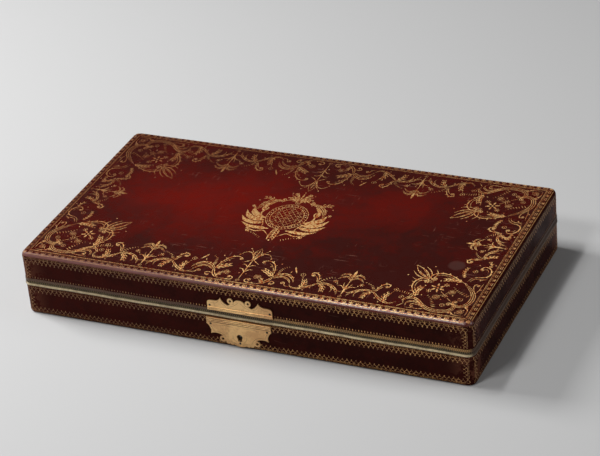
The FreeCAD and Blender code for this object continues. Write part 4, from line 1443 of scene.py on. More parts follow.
def lace(length: float, drop: float = 7.4, pitch: float = 4.7) -> list[Mark]:
    """A hanging border: a line, a row of eyes between two waves and a pearl under each eye.

    Args:
        length: How long the run is.
        drop: How deep it hangs.
        pitch: About how long an eye is.

    Returns:
        The marks, from x of 0 to the length and from y of 0 down.
    """
    unit = drop / 7.4
    count = max(1, round(length / pitch))
    wide = length / count
    marks = [straight(0.0, length, 0.0, 0.6)]
    for side in (-1, 1):
        waves = [(step * wide / 5, side * sin(pi * step / 5))
                 for step in range(5 * count + 1)]
        marks.append(even([(x, (wave * (1.7 if wave > 0 else 2.4) - 3.0) * unit)
                           for x, wave in waves], 1.05 * unit))
    for index in range(count):
        left, middle = index * wide, (index + 0.5) * wide
        marks += [stroke([(left, -0.4), (left, -2.4 * unit)], 1.5 * unit, 0.9, 0.6),
                  stroke([(middle, -5.2 * unit), (middle, -6.0 * unit)], 1.0 * unit, 0.9, 0.6),
                  dot(middle, -6.7 * unit, 0.95 * unit)]
    return marks


def picket(length: float, height: float = 1.7, pitch: float = 3.1) -> list[Mark]:
    """A row of small upright strokes.

    Args:
        length: How long the row is.
        height: How high the strokes are.
        pitch: About how far apart they are.

    Returns:
        The marks, from x of 0 to the length.
    """
    count = max(1, round(length / pitch))
    places = [(index + 0.5) * length / count for index in range(count)]
    return [stroke([(x, -height / 2), (x, height / 2)], 1.7, 0.9, 0.7) for x in places]


def roll(length: float, pitch: float = 7.2) -> list[Mark]:
    """A row of lying bars, each with three pearls, and of small knots in turn.

    Args:
        length: How long the row is.
        pitch: About how far a bar is from the next knot.

    Returns:
        The marks, from x of 0 to the length.
    """
    count = 2 * max(1, round(length / pitch / 2)) - 1
    marks = []
    for index in range(count):
        x = (index + 0.5) * length / count
        if index % 2:
            marks += [stroke([(x - 2.2, way), (x, -0.2 * way), (x + 2.2, -way)], 1.0, 0.7, 0.7)
                      for way in (-1.1, 1.1)]
            marks += dots(0.5, (x, -1.3), (x, 1.3))
        else:
            marks.append(stroke([(x - 2.6, -0.7), (x, -1.15), (x + 2.6, -0.7)], 1.1, 0.6, 0.6))
            marks += dots(0.62, (x - 1.8, 0.75), (x, 0.75), (x + 1.8, 0.75))
    return marks


# ---- tooling ----
@dataclass(frozen=True)
class Panel:
    """A flat side of the box that takes tooling."""
    corner: Place
    across: Place
    up: Place
    out: Place

    def place(self, s: float, t: float, lift: float) -> Vector:
        """A point of the panel over its leather.

        Args:
            s: How far across.
            t: How far up.
            lift: How far over the leather.

        Returns:
            The point in millimetres.
        """
        flat = Vector(self.corner) + Vector(self.across) * s + Vector(self.up) * t
        return flat + Vector(self.out) * (ripple(flat) + lift)


@dataclass(frozen=True)
class SidePanel(Panel):
    """An upright side that turns the box's upright edges at both of its ends."""
    half: float = 240.0
    edge: float = 8.0
    radius: float = 7.78

    def place(self, s: float, t: float, lift: float) -> Vector:
        """A point over the leather, carried round the upright edge near the ends.

        Args:
            s: How far across.
            t: How far up.
            lift: How far over the leather.

        Returns:
            The point in millimetres.
        """
        over = abs(s) - (self.half - self.edge)
        if over <= 0:
            return super().place(s, t, lift)
        turn = over / self.edge
        across = Vector(self.across) * copysign(1.0, s)
        out = Vector(self.out)
        axis = Vector(self.corner) + across * (self.half - self.edge) - out * self.radius
        way = across * sin(turn) + out * cos(turn)
        flat = axis + way * self.radius + Vector(self.up) * t
        return flat + way * (ripple(flat) + lift)


@dataclass(frozen=True)
class TopPanel(Panel):
    """The lid's top, whose edges roll over into the sides."""
    half_x: float = 240.0
    half_y: float = 131.5
    edge: float = 8.0
    roll: float = 4.5

    def place(self, s: float, t: float, lift: float) -> Vector:
        """A point over the leather, lower where the edge rolls over.

        Args:
            s: How far across.
            t: How far up.
            lift: How far over the leather.

        Returns:
            The point in millimetres.
        """
        at = super().place(s, t, lift)
        near_x = self.half_x - abs(s)
        near_y = self.half_y - abs(t)
        inset = min(near_x, near_y)
        if max(near_x, near_y) < self.edge:
            inset = self.edge - hypot(self.edge - near_x, self.edge - near_y)
        if inset < self.roll:
            at.z -= self.roll - sqrt(max(0.0, self.roll ** 2 - (self.roll - inset) ** 2))
        return at


class Tooling:
    """Gold tooling on one body, gathered into one piece."""
    LIFT = 0.12
    DOME = 0.07
    SINK = -0.05
    ROOT = -0.11
    BEAD_SIDES = 7

    def __init__(self) -> None:
        """Starts with no marks."""
        self.draft = Draft("gild")

    def press(self, marks: Sequence[Mark], panel: Panel,
              change: Callable[[float, float], Point] = lambda x, y: (x, y),
              weight: float = 1.0) -> None:
        """Presses marks into a panel.

        Args:
            marks: The marks.
            panel: The panel.
            change: Where a point of the marks lies on the panel.
            weight: How much wider than drawn the marks come out.
        """
        for mark in moved(marks, change):
            if len(mark.line) == 1:
                self._bead(mark.line[0], mark.widths[0] * (0.5 + weight / 2), panel)
            else:
                self._line(mark, weight, panel)

    def _bead(self, at: Point, radius: float, panel: Panel) -> None:
        """Adds a low dome.

        Args:
            at: Its middle.
            radius: Its radius.
            panel: The panel that it lies on.
        """
        count = self.BEAD_SIDES
        rings = [[panel.place(*point, lift) for point in around(*at, reach, reach, count)]
                 for reach, lift in ((radius, self.SINK), (radius * 0.62, self.LIFT + self.DOME))]
        first = self.draft.add(rings[0], 0.25)
        second = self.draft.add(rings[1], 1.0)
        top = self.draft.add([panel.place(*at, self.LIFT + 2 * self.DOME)], 1.0)
        low = self.draft.add([panel.place(*at, self.ROOT)])
        for side in range(count):
            after = (side + 1) % count
            self.draft.faces += [(first + side, first + after, second + after, second + side),
                                 (second + side, second + after, top),
                                 (first + after, first + side, low)]

    def _line(self, mark: Mark, weight: float, panel: Panel) -> None:
        """Adds a low ridge along a line.

        Args:
            mark: The line.
            weight: How much wider than drawn it comes out.
            panel: The panel that it lies on.
        """
        rings = []
        for at, way, width in zip(mark.line, headings(mark.line, mark.closed), mark.widths):
            half = width * weight
            left, right = spoke(at, left_of(way), half, -half)
            rings.append([panel.place(*left, self.SINK),
                          panel.place(*at, self.LIFT * min(1.0, 0.45 + half)),
                          panel.place(*right, self.SINK), panel.place(*at, self.ROOT)])
        self.draft.loft(rings, mark.closed, (0.3, 1.0, 0.3, 0.0))


@dataclass
class GoldTooling:
    """All the gold tooling: the lid's top, the bands round both halves and the drawer's front."""
    sizes: BoxSizes
    finishes: Finishes
    middle_x: float = -4.0
    fleurons: Point = (-110.0, 103.0)
    end_middle: float = 5.0
    medallion: Point = (-5.0, 5.0)
    roll_middle: float = 4.9
    roll_start: float = 7.6
    ruled: tuple[Point, ...] = ((8.8, 0.8), (7.6, 0.45), (2.3, 0.6))
    column: float = 5.0
    end_gap: float = 4.0
    drawer_run: float = 109.6
    pull_height: float = 17.2
    lightness: float = 0.68
    fineness: float = 0.6
    tooling: Tooling = field(default_factory=Tooling)

    def build(self) -> None:
        """Presses every panel and makes the four pieces."""
        for name, body, finish, press in (
                ("lid_top_tooling", "lid", self.finishes.gilding, self.lid_top),
                ("lid_side_tooling", "lid", self.finishes.dull_gilding, self.lid_sides),
                ("base_side_tooling", "base", self.finishes.dull_gilding, self.base_sides),
                ("drawer_front_tooling", "drawer", self.finishes.dull_gilding, self.drawer_front)):
            self.tooling = Tooling()
            press()
            self.tooling.draft.build(Piece(name, finish, Slot.LEATHER, body))

    def side_panels(self) -> dict[str, SidePanel]:
        """The four upright sides.

        Returns:
            The panels by name.
        """
        sizes = self.sizes
        panels = {}
        for name, out in (("front", (0, -1)), ("right", (1, 0)), ("back", (0, 1)),
                          ("left", (-1, 0))):
            reach, half = sizes.half_y, sizes.half_x
            if out[0]:
                reach, half = half, reach
            panels[name] = SidePanel((*ahead((0, 0), out, reach - sizes.recess), 0),
                                     (*left_of(out), 0), (0, 0, 1), (*out, 0), half, sizes.corner,
                                     sizes.corner - sizes.recess)
        return panels

    def lid_top(self) -> None:
        """The border, the corner groups, the fleurons and the medallion."""
        half_x, half_y = self.sizes.half_x, self.sizes.half_y
        panel = TopPanel((0, 0, self.sizes.top - self.sizes.recess), (1, 0, 0), (0, 1, 0),
                         (0, 0, 1), half_x=half_x, half_y=half_y)

        def press(marks: list[Mark], change: Callable[[float, float], Point]) -> None:
            """Presses a group of the lid's top, a little finer than drawn."""
            self.tooling.press(marks, panel, change, self.lightness)

        corners = corner_group()
        for sx in (-1, 1):
            for sy in (-1, 1):
                press(corners, lambda x, y: (sx * (half_x - x), sy * (half_y - y)))
        for side in (-1, 1):
            for middle in self.fleurons:
                press(fleuron(True), lambda x, y: (middle + x, side * (half_y - y)))
            press(edge_centre(), lambda x, y: (self.middle_x + x, side * (half_y - y)))
            press(fleuron(False), lambda x, y: (side * (half_x - 0.87 * y - 1.4),
                                                self.end_middle + 0.85 * x))
        self._border(panel)
        self.tooling.press(cartouche(), panel, lambda x, y: ahead(self.medallion, (x, y), 1))

    def _border(self, panel: Panel) -> None:
        """The lines and the roll along the lid's edges.

        Args:
            panel: The lid's top.
        """
        half_x, half_y = self.sizes.half_x, self.sizes.half_y

        def frame_side(long_marks: list[Mark], short_marks: list[Mark], side: int, inset: float
                       ) -> None:
            """Presses marks that run from the middle of a long and of a short edge."""
            self.tooling.press(long_marks, panel, lambda x, y: (x, side * (half_y - inset) + y))
            self.tooling.press(short_marks, panel, lambda x, y: (side * (half_x - inset) + y, x))

        for inset, width in self.ruled:
            for side in (-1, 1):
                frame_side(*([straight(inset - half, half - inset, 0.0, width)]
                             for half in (half_x, half_y)), side, inset)
        runs = [moved(roll(2 * run), lambda x, y: (x - run, y))
                for run in (half_x - self.roll_start, half_y - self.roll_start)]
        for side in (-1, 1):
            frame_side(*runs, side, self.roll_middle)
            for end in (-1, 1):
                self.tooling.press(star(side * (half_x - self.roll_middle),
                                        end * (half_y - self.roll_middle), 2.2, 8), panel)

    def _run(self, panel: Panel, run: float, marks: list[Mark], height: float, flip: int = 1
             ) -> None:
        """Presses a border along a side at a height, hanging where flip is 1."""
        self.tooling.press(marks, panel, lambda x, y: (x - run, height + flip * y), self.fineness)

    def _column(self, panel: SidePanel, low: float, high: float) -> None:
        """Presses upright borders near both ends of a side.

        Args:
            panel: The side.
            low: Where they start.
            high: Where they end.
        """
        for side in (-1, 1):
            self.tooling.press(lace(high - low, 5.4, 3.7), panel, lambda x, y: (
                side * (panel.half - self.column + y), low + x), self.fineness)

    def lid_sides(self) -> None:
        """Hanging lace and a row of upright strokes round the lid."""
        top, rim = self.sizes.top, self.sizes.lid_rim
        for panel in self.side_panels().values():
            run = panel.half - self.end_gap
            self._run(panel, run, lace(2 * run), top - 4.2)
            self._run(panel, run, picket(2 * run), rim + 4.5)
            self._column(panel, rim + 5.6, top - 11.4)

    def base_sides(self) -> None:
        """Bands along the base's rim and foot; the drawer's end has only narrow ones."""
        rim = self.sizes.base_rim
        for name, panel in self.side_panels().items():
            run = panel.half - self.end_gap
            if name == "left":
                for height in (rim - 2.4, 3.4):
                    self._run(panel, run, picket(2 * run, 1.8), height)
                self._column(panel, 6.0, 29.0)
            else:
                self._run(panel, run, lace(2 * run, 7.0), rim - 2.6)
                self._run(panel, run, lace(2 * run, 6.0), 2.3, -1)
                self._column(panel, 8.6, rim - 9.4)

    def drawer_front(self) -> None:
        """Lace along the drawer front's edges, and a star and a leaf on each side of its pull."""
        panel, run, middle = self.side_panels()["left"], self.drawer_run, self.pull_height
        self._run(panel, run, lace(2 * run, 6.4), 28.0)
        self._run(panel, run, lace(2 * run, 6.4), 6.4, -1)
        for side in (-1, 1):
            self.tooling.press([straight(7.0, 27.6, 0.0, 0.5)], panel,
                               lambda x, y: (side * run + y, x))
            self.tooling.press(star(side * 30.0, middle, 2.6)
                               + leaf([(side * x, middle) for x in (14.0, 20.0, 26.0)], 3.2, 4),
                               panel)


# ---- leather ----
def ease(value: float, low: float, high: float) -> float:
    """0 at low, 1 at high, smooth between; low may be the larger."""
    share = min(1.0, max(0.0, (value - low) / (high - low)))
    return share * share * (3 - 2 * share)


def rounded_ring(half_x: float, half_y: float, radius: float, z: float, steps: int = 5
                 ) -> list[Place]:
    """A level rectangle with rounded corners.

    Args:
        half_x: Half its length.
        half_y: Half its depth.
        radius: The corners' radius.
        z: Its height.
        steps: How many parts a corner has.

    Returns:
        Its points, counter-clockwise.
    """
    points = []
    for quarter, (sx, sy) in enumerate(((1, 1), (-1, 1), (-1, -1), (1, -1))):
        for step in range(steps + 1):
            turn = pi / 2 * (quarter + step / steps)
            points.append((sx * (half_x - radius) + radius * cos(turn),
                           sy * (half_y - radius) + radius * sin(turn), z))
    return points


def quarter_roll(inset: float, level: float, radius: float, steps: int, way: int = 1
                 ) -> list[Point]:
    """A quarter round of a profile, from its upright end to its level one.

    Args:
        inset: How far in its upright end lies.
        level: The height of its level end.
        radius: Its radius.
        steps: How many parts it has.
        way: 1 where it rises to its level end, -1 where it falls.

    Returns:
        Its points, as (inset, height).
    """
    turns = [pi / 2 * step / steps for step in range(steps + 1)]
    return [(inset + radius * (1 - cos(turn)), level - way * radius * (1 - sin(turn)))
            for turn in turns]


def steps_between(low: float, high: float, pitch: float) -> list[float]:
    """Evenly spaced places strictly between two ends."""
    count = max(2, round((high - low) / pitch))
    return [low + (high - low) * index / count for index in range(1, count)]


@dataclass
class LeatherCovers:
    """The red leather that covers the lid, the base and the drawer's front."""
    sizes: BoxSizes
    finishes: Finishes
    thickness: float = 0.6
    grid: float = 6.0
    edge_roll: float = 4.5
    polished_roll: Point = (0.12, 4.2)
    foot_roll: float = 2.5
    foot_gap: float = 0.05
    edge_gap: float = 4.0
    skin: float = 1.4
    # Patches of the lid's top painted lighter as a highlight: x, y, width, depth and strength.
    highlight_patches: tuple[tuple[float, float, float, float, float], ...] = (
        (-68.0, 18.0, 118.0, 66.0, 0.76), (112.0, 52.0, 84.0, 44.0, 0.42),
        (-150.0, -10.0, 60.0, 60.0, 0.2))
    drawer_low: float = 5.0
    drawer_high: float = 29.5
    drawer_half: float = 113.0
    keyhole: tuple[float, float, float, float] = (-4.4, 2.4, 7.8, 16.4)

    def build(self) -> None:
        """Builds all three covers."""
        self.lid()
        self.base()
        self.drawer_front()

    def _rings(self, profile: Line) -> list[list[Place]]:
        """Rings of the cover from a profile.

        Args:
            profile: Its points, as (inset, height).

        Returns:
            The rings.
        """
        half_x, half_y, corner = self.sizes.half_x, self.sizes.half_y, self.sizes.corner
        return [rounded_ring(half_x - inset, half_y - inset, max(corner - inset, 0.4), z)
                for inset, z in profile]

    def _lip(self, rim: float, way: int) -> list[Point]:
        """The profile's edge at a rim.

        Args:
            rim: The rim's height.
            way: 1 where the cover is above it, -1 where it is below.

        Returns:
            Its points, from the inside out.
        """
        outer = self.sizes.recess
        return [(outer + self.thickness, rim - way * 0.02), (outer + 0.12, rim - way * 0.02),
                (outer, rim + way * 0.15)]

    def _cut(self, made: BMesh, axis: int, low: float, high: float,
             extra: Sequence[float] = ()) -> None:
        """Cuts every face of a mesh at planes across an axis, a grid's width apart.

        Args:
            made: The mesh in millimetres.
            axis: The axis, 0 to 2.
            low: Where the planes start.
            high: Where they end.
            extra: Further planes.
        """
        across = Vector((0, 0, 0))
        across[axis] = 1
        for place in (*steps_between(low, high, self.grid), *extra):
            bmesh.ops.bisect_plane(made, geom=made.verts[:] + made.edges[:] + made.faces[:],
                                   plane_co=across * place, plane_no=across, dist=0.002)

    @staticmethod
    def _open(made: BMesh, inside: Callable[[Vector], bool]) -> None:
        """Cuts a hole through both skins and closes its rim.

        Args:
            made: The mesh in millimetres.
            inside: Whether a face with this middle goes.
        """
        faces = [face for face in made.faces if inside(face.calc_center_median())]
        bmesh.ops.delete(made, geom=faces, context="FACES")
        bmesh.ops.bridge_loops(made, edges=[edge for edge in made.edges if edge.is_boundary])

    def _finish(self, made: BMesh, spec: Piece) -> None:
        """Ripples a cover, gives it its values and makes it a piece.

        Args:
            made: The cover's mesh in millimetres.
            spec: What the piece is.
        """
        bmesh.ops.recalc_face_normals(made, faces=made.faces)
        made.normal_update()
        for vertex, normal in [(vertex, vertex.normal.copy()) for vertex in made.verts]:
            vertex.co += normal * ripple(vertex.co)
        mesh = bpy.data.meshes.new(spec.name)
        top = self.sizes.top
        # side picks the painted side shade; the other value is wear, less in painted highlight
        # patches.
        values = {"side": [ease(vertex.co.z, top - 0.6, top - 3.4) for vertex in made.verts],
                  "handled_and_lit": [self._wear_and_highlight(vertex.co) for vertex in made.verts]}
        bmesh.ops.scale(made, vec=(MM, MM, MM), verts=made.verts)
        kinds = [self._kind(face) for face in made.faces]
        made.to_mesh(mesh)
        made.free()
        for label, numbers in values.items():
            mesh.attributes.new(label, "FLOAT", "POINT").data.foreach_set("value", numbers)
        spec.stand(mesh)
        if spec.finish is not self.finishes.hide:
            mesh.materials.append(self.finishes.hide)
            mesh.materials.append(self.finishes.edge_hide)
            mesh.polygons.foreach_set("material_index", kinds)

    def _kind(self, face: BMFace) -> int:
        """The finish of one face of the lid.

        Args:
            face: The face.

        Returns:
            0 on the top, 1 on the sides and 2 on the front's polished roll.
        """
        drop = self.sizes.top - face.calc_center_median().z / MM
        rolled = self.polished_roll[0] < drop < self.polished_roll[1] and face.normal.z < 0.99
        if abs(face.normal.z) < 0.3 or rolled and face.normal.y > -0.05:
            return 1
        return 2 if rolled else 0

    def _wear_and_highlight(self, place: Vector) -> float:
        """How much handling has darkened the leather, less in a few painted highlight patches.

        Args:
            place: A point in millimetres.

        Returns:
            The share, 0 to 1.
        """
        value = 1.0
        for x, y, wide, deep, strength in self.highlight_patches:
            value -= strength * exp(-((place.x - x) / wide) ** 2 - ((place.y - y) / deep) ** 2)
        return min(1.0, max(0.0, value))

    def lid(self) -> None:
        """The lid's cover: a cap whose top edges roll over into the sides."""
        sizes = self.sizes
        outer = sizes.recess
        top = sizes.top - sizes.recess
        draft = Draft()
        inside = quarter_roll(outer + self.thickness, top - self.thickness, self.edge_roll - 0.5, 6)
        draft.loft(self._rings(inside[::-1] + self._lip(sizes.lid_rim, 1)
                               + quarter_roll(outer, top, self.edge_roll, 6)))
        made = draft.rough_mesh()
        for axis, half in enumerate((sizes.half_x, sizes.half_y)):
            self._cut(made, axis, self.edge_gap - half, half - self.edge_gap)
        self._cut(made, 2, sizes.lid_rim, top - self.edge_roll)
        self._finish(made, Piece("lid_cover", self.finishes.lid_hide, Slot.LEATHER, "lid",
                                 ("lid_leather",), 50.0))

    def base(self) -> None:
        """The base's cover: a band with the drawer's opening and the keyhole cut out."""
        sizes = self.sizes
        outer = sizes.recess
        deep, low, high = self.drawer_half, self.drawer_low, self.drawer_high
        left, right, bottom, top = self.keyhole
        draft = Draft()
        outside, inside = (quarter_roll(inset, self.foot_gap, self.foot_roll, 4, -1)
                           for inset in (outer, outer + self.thickness))
        draft.loft(self._rings(self._lip(sizes.base_rim, -1) + outside + inside[::-1]), True)
        made = draft.rough_mesh()
        self._cut(made, 0, self.edge_gap - sizes.half_x, sizes.half_x - self.edge_gap,
                  (left, right))
        self._cut(made, 1, -deep, deep, (-deep, deep))
        self._cut(made, 2, low, high, (low, high, bottom, top))
        self._open(made, lambda at: at.x < self.skin - sizes.half_x and abs(at.y) < deep
                   and low < at.z < high)
        self._open(made, lambda at: at.y < self.skin - sizes.half_y and left < at.x < right
                   and bottom < at.z < top)
        self._finish(made, Piece("base_cover", self.finishes.hide, Slot.LEATHER, "base",
                                 ("base_leather",), 50.0))

    def drawer_front(self) -> None:
        """The leather on the drawer's front, rounded over at its edges."""
        low, high = box_of("drawer_front_leather")
        face = low.x + self.sizes.recess
        half_z, middle_z = (high.z - low.z) / 2, (high.z + low.z) / 2
        draft = Draft()
        draft.loft([[(x, across, middle_z + up) for across, up, x in
                     rounded_ring(high.y - inset, half_z - inset, 0.6 - inset, x, 2)]
                    for inset, x in ((0.0, high.x - 0.02), (0.0, face + 0.45),
                                     (0.12, face + 0.18), (0.4, face))])
        made = draft.rough_mesh()
        self._cut(made, 1, 1 - high.y, high.y - 1)
        self._cut(made, 2, low.z + 1, high.z - 1)
        self._finish(made, Piece("drawer_front_cover", self.finishes.hide, Slot.LEATHER, "drawer",
                                 ("drawer_front_leather",), 50.0))


# ---- braids ----
@dataclass(frozen=True)
class Weave:
    """How a braid is made: its outline in (inset, height), the pitch of its ridges, how deep the
    hollows are as a share of its thickness, and how much painted shade darkens them."""
    outline: tuple[Point, ...]
    pitch: float
    depth: float
    shade: float


@dataclass
class Braids:
    """The braids along the two rims, broken at the hinges."""
    sizes: BoxSizes
    finishes: Finishes
    step: float = 0.5
    corner_steps: int = 9
    hinge_gap: float = 0.3
    bead: Weave = Weave(((2.9, 0.0), (2.9, 1.55), (0.9, 1.55), (0.1, 1.3), (-0.3, 0.6),
                         (-0.3, -0.4), (0.0, -1.1), (0.4, -1.2), (0.48, -0.2), (0.9, 0.0)),
                        2.15, 0.42, 1.0)
    pale: Weave = Weave(((2.9, 0.05), (2.9, 1.8), (2.3, 2.0), (1.2, 2.0), (0.75, 1.5),
                         (0.6, 0.95), (0.1, 0.95), (-0.35, 0.7), (-0.6, 0.1), (-0.6, -0.6),
                         (-0.35, -1.2), (0.16, -1.45), (0.2, 0.05)), 1.5, 0.08, 0.2)
    face: Weave = Weave(((0.2, -0.1), (0.2, 2.9), (-0.05, 2.95), (-0.24, 2.4), (-0.14, 1.8),
                         (-0.28, 1.3), (-0.14, 0.8), (-0.24, 0.2), (-0.05, -0.15)),
                        1.9, 0.2, 0.75)
    plate_reach: Point = (-33.2, 37.6)
    plate_low: float = 1.55

    def build(self) -> None:
        """Builds the three braids."""
        made = self.finishes
        self._braid(Piece("lid_bead_braid", made.dark_braid, Slot.DARK_BRAID, "lid",
                          ("lid_rim_braid",)), self.bead, box_of("lid_rim_braid")[0].z)
        self._braid(Piece("lid_edge_galloon", made.dull_braid, Slot.DARK_BRAID, "lid"), self.face,
                    self.sizes.lid_rim)
        self._braid(Piece("base_galloon", made.pale_braid, Slot.PALE_BRAID, "base",
                          ("base_rim_braid",)), self.pale, self.sizes.base_rim)

    def _paths(self) -> list[list[tuple[Point, Point]]]:
        """The box's outline between the hinges.

        Returns:
            Each run's points with their outward directions.
        """
        sizes = self.sizes
        corners = [point[:2] for point in rounded_ring(sizes.half_x, sizes.half_y, sizes.corner,
                                                       0.0, self.corner_steps)]
        loop: list[Point] = []
        for here, there in zip(corners, corners[1:] + corners[:1]):
            count = max(1, round(dist(here, there) / self.step))
            loop += [(here[0] + (there[0] - here[0]) * part / count,
                      here[1] + (there[1] - here[1]) * part / count) for part in range(count)]
        leaves = [box_of("hinge_base_leaf_" + side) for side in ("left", "right")]
        paths: list[list[tuple[Point, Point]]] = [[]]
        for at, way in zip(loop, headings(loop, True)):
            hidden = at[1] > sizes.half_y - 0.1 and any(
                low.x - self.hinge_gap < at[0] < high.x + self.hinge_gap for low, high in leaves)
            if hidden and paths[-1]:
                paths.append([])
            elif not hidden:
                paths[-1].append((at, (way[1], -way[0])))
        if len(paths) > 2:
            paths[0] = paths.pop() + paths[0]
        return paths

    def _braid(self, spec: Piece, weave: Weave, level: float) -> None:
        """Sweeps a ridged braid along the rim.

        Args:
            spec: What the piece is.
            weave: How the braid is made.
            level: The height that the outline's heights start from.
        """
        draft = Draft("lit_share")
        count = len(weave.outline)
        middle = [sum(point[axis] for point in weave.outline) / count for axis in (0, 1)]
        for path in self._paths():
            rings, lit_share, run = [], [], 0.0
            for index, (at, out) in enumerate(path):
                if index:
                    run += dist(at, path[index - 1][0])
                drift = 0.22 * sin(0.051 * run + 0.8) + 0.1 * sin(0.19 * run)
                under_plate = at[1] < 0 and self.plate_reach[0] < at[0] < self.plate_reach[1]
                rings.append([])
                for number, (inset, height) in enumerate(weave.outline):
                    wave = 0.5 + 0.5 * cos(2 * pi * (run / weave.pitch + number / count))
                    reach = 1 - weave.depth * (1 - wave ** 0.6)
                    rise = middle[1] + (height - middle[1]) * reach + drift
                    if under_plate:
                        rise = min(rise, self.plate_low)
                    across = middle[0] + (inset - middle[0]) * reach
                    rings[-1].append((*ahead(at, out, -across), level + rise))
                    # Painted shade: darker where the outline lies inset behind the face and in the
                    # hollows between ridges.
                    lit_share.append(ease(inset, 0.9, 0.35) * (1 - weave.shade * (1 - wave ** 1.6)))
            draft.loft(rings, values=lit_share)
        draft.build(spec)


# ---- linings ----
@dataclass(frozen=True)
class Face:
    """Where a soft panel lies: the middle of its back, two directions of its face, which turn
    counter-clockwise as seen from in front, and half its length along each."""
    middle: Sequence[float]
    across: Place
    up: Place
    half_s: float
    half_t: float


def soft_panel(draft: Draft, face: Face, thick: float, crown: float, pitch: float = 7.0) -> None:
    """Adds a card panel covered in silk: soft edges and a slightly crowned face.

    Args:
        draft: What the panel is added to.
        face: Where it lies.
        thick: How thick it is.
        crown: How far its face rises in its middle.
        pitch: About how far apart its points are.
    """
    centre, side, rise = Vector(face.middle), Vector(face.across), Vector(face.up)
    out = side.cross(rise)
    half_s, half_t = face.half_s, face.half_t

    def places(half: float) -> list[float]:
        """Places across the panel, closer together at its edges."""
        inner = half - 1.2
        return [-half, 0.4 - half, -inner, *steps_between(-inner, inner, pitch), inner,
                half - 0.4, half]

    def height(s: float, t: float) -> float:
        """The face's height over the back.

        Args:
            s: How far across from the middle.
            t: How far up from the middle.

        Returns:
            The height in millimetres.
        """
        edge = min(half_s - abs(s), half_t - abs(t))
        soft = sqrt(max(0.0, 1 - (1 - min(1.0, edge / 0.8)) ** 2))
        swell = (1 - (s / half_s) ** 4) * (1 - (t / half_t) ** 4)
        sag = 0.06 * sin(0.08 * s + 0.5) * sin(0.11 * t + 0.9)
        return 0.1 + (thick - 0.1) * soft + (crown + sag) * swell

    columns, rows = places(half_s), places(half_t)
    wide, tall = len(columns), len(rows)
    front = draft.add(centre + side * s + rise * t + out * height(s, t)
                      for t in rows for s in columns)
    back = draft.add(centre + side * s + rise * t for t in rows for s in columns)
    for row in range(tall - 1):
        for column in range(wide - 1):
            low = row * wide + column
            for start, order in ((front, 1), (back, -1)):
                draft.faces.append(tuple(start + low + step
                                         for step in (0, 1, wide + 1, wide))[::order])
    border = (list(range(wide)) + [row * wide + wide - 1 for row in range(1, tall)]
              + [(tall - 1) * wide + column for column in range(wide - 2, -1, -1)]
              + [row * wide for row in range(tall - 2, 0, -1)])
    for here, there in zip(border, border[1:] + border[:1]):
        draft.faces.append((front + here, back + here, back + there, front + there))


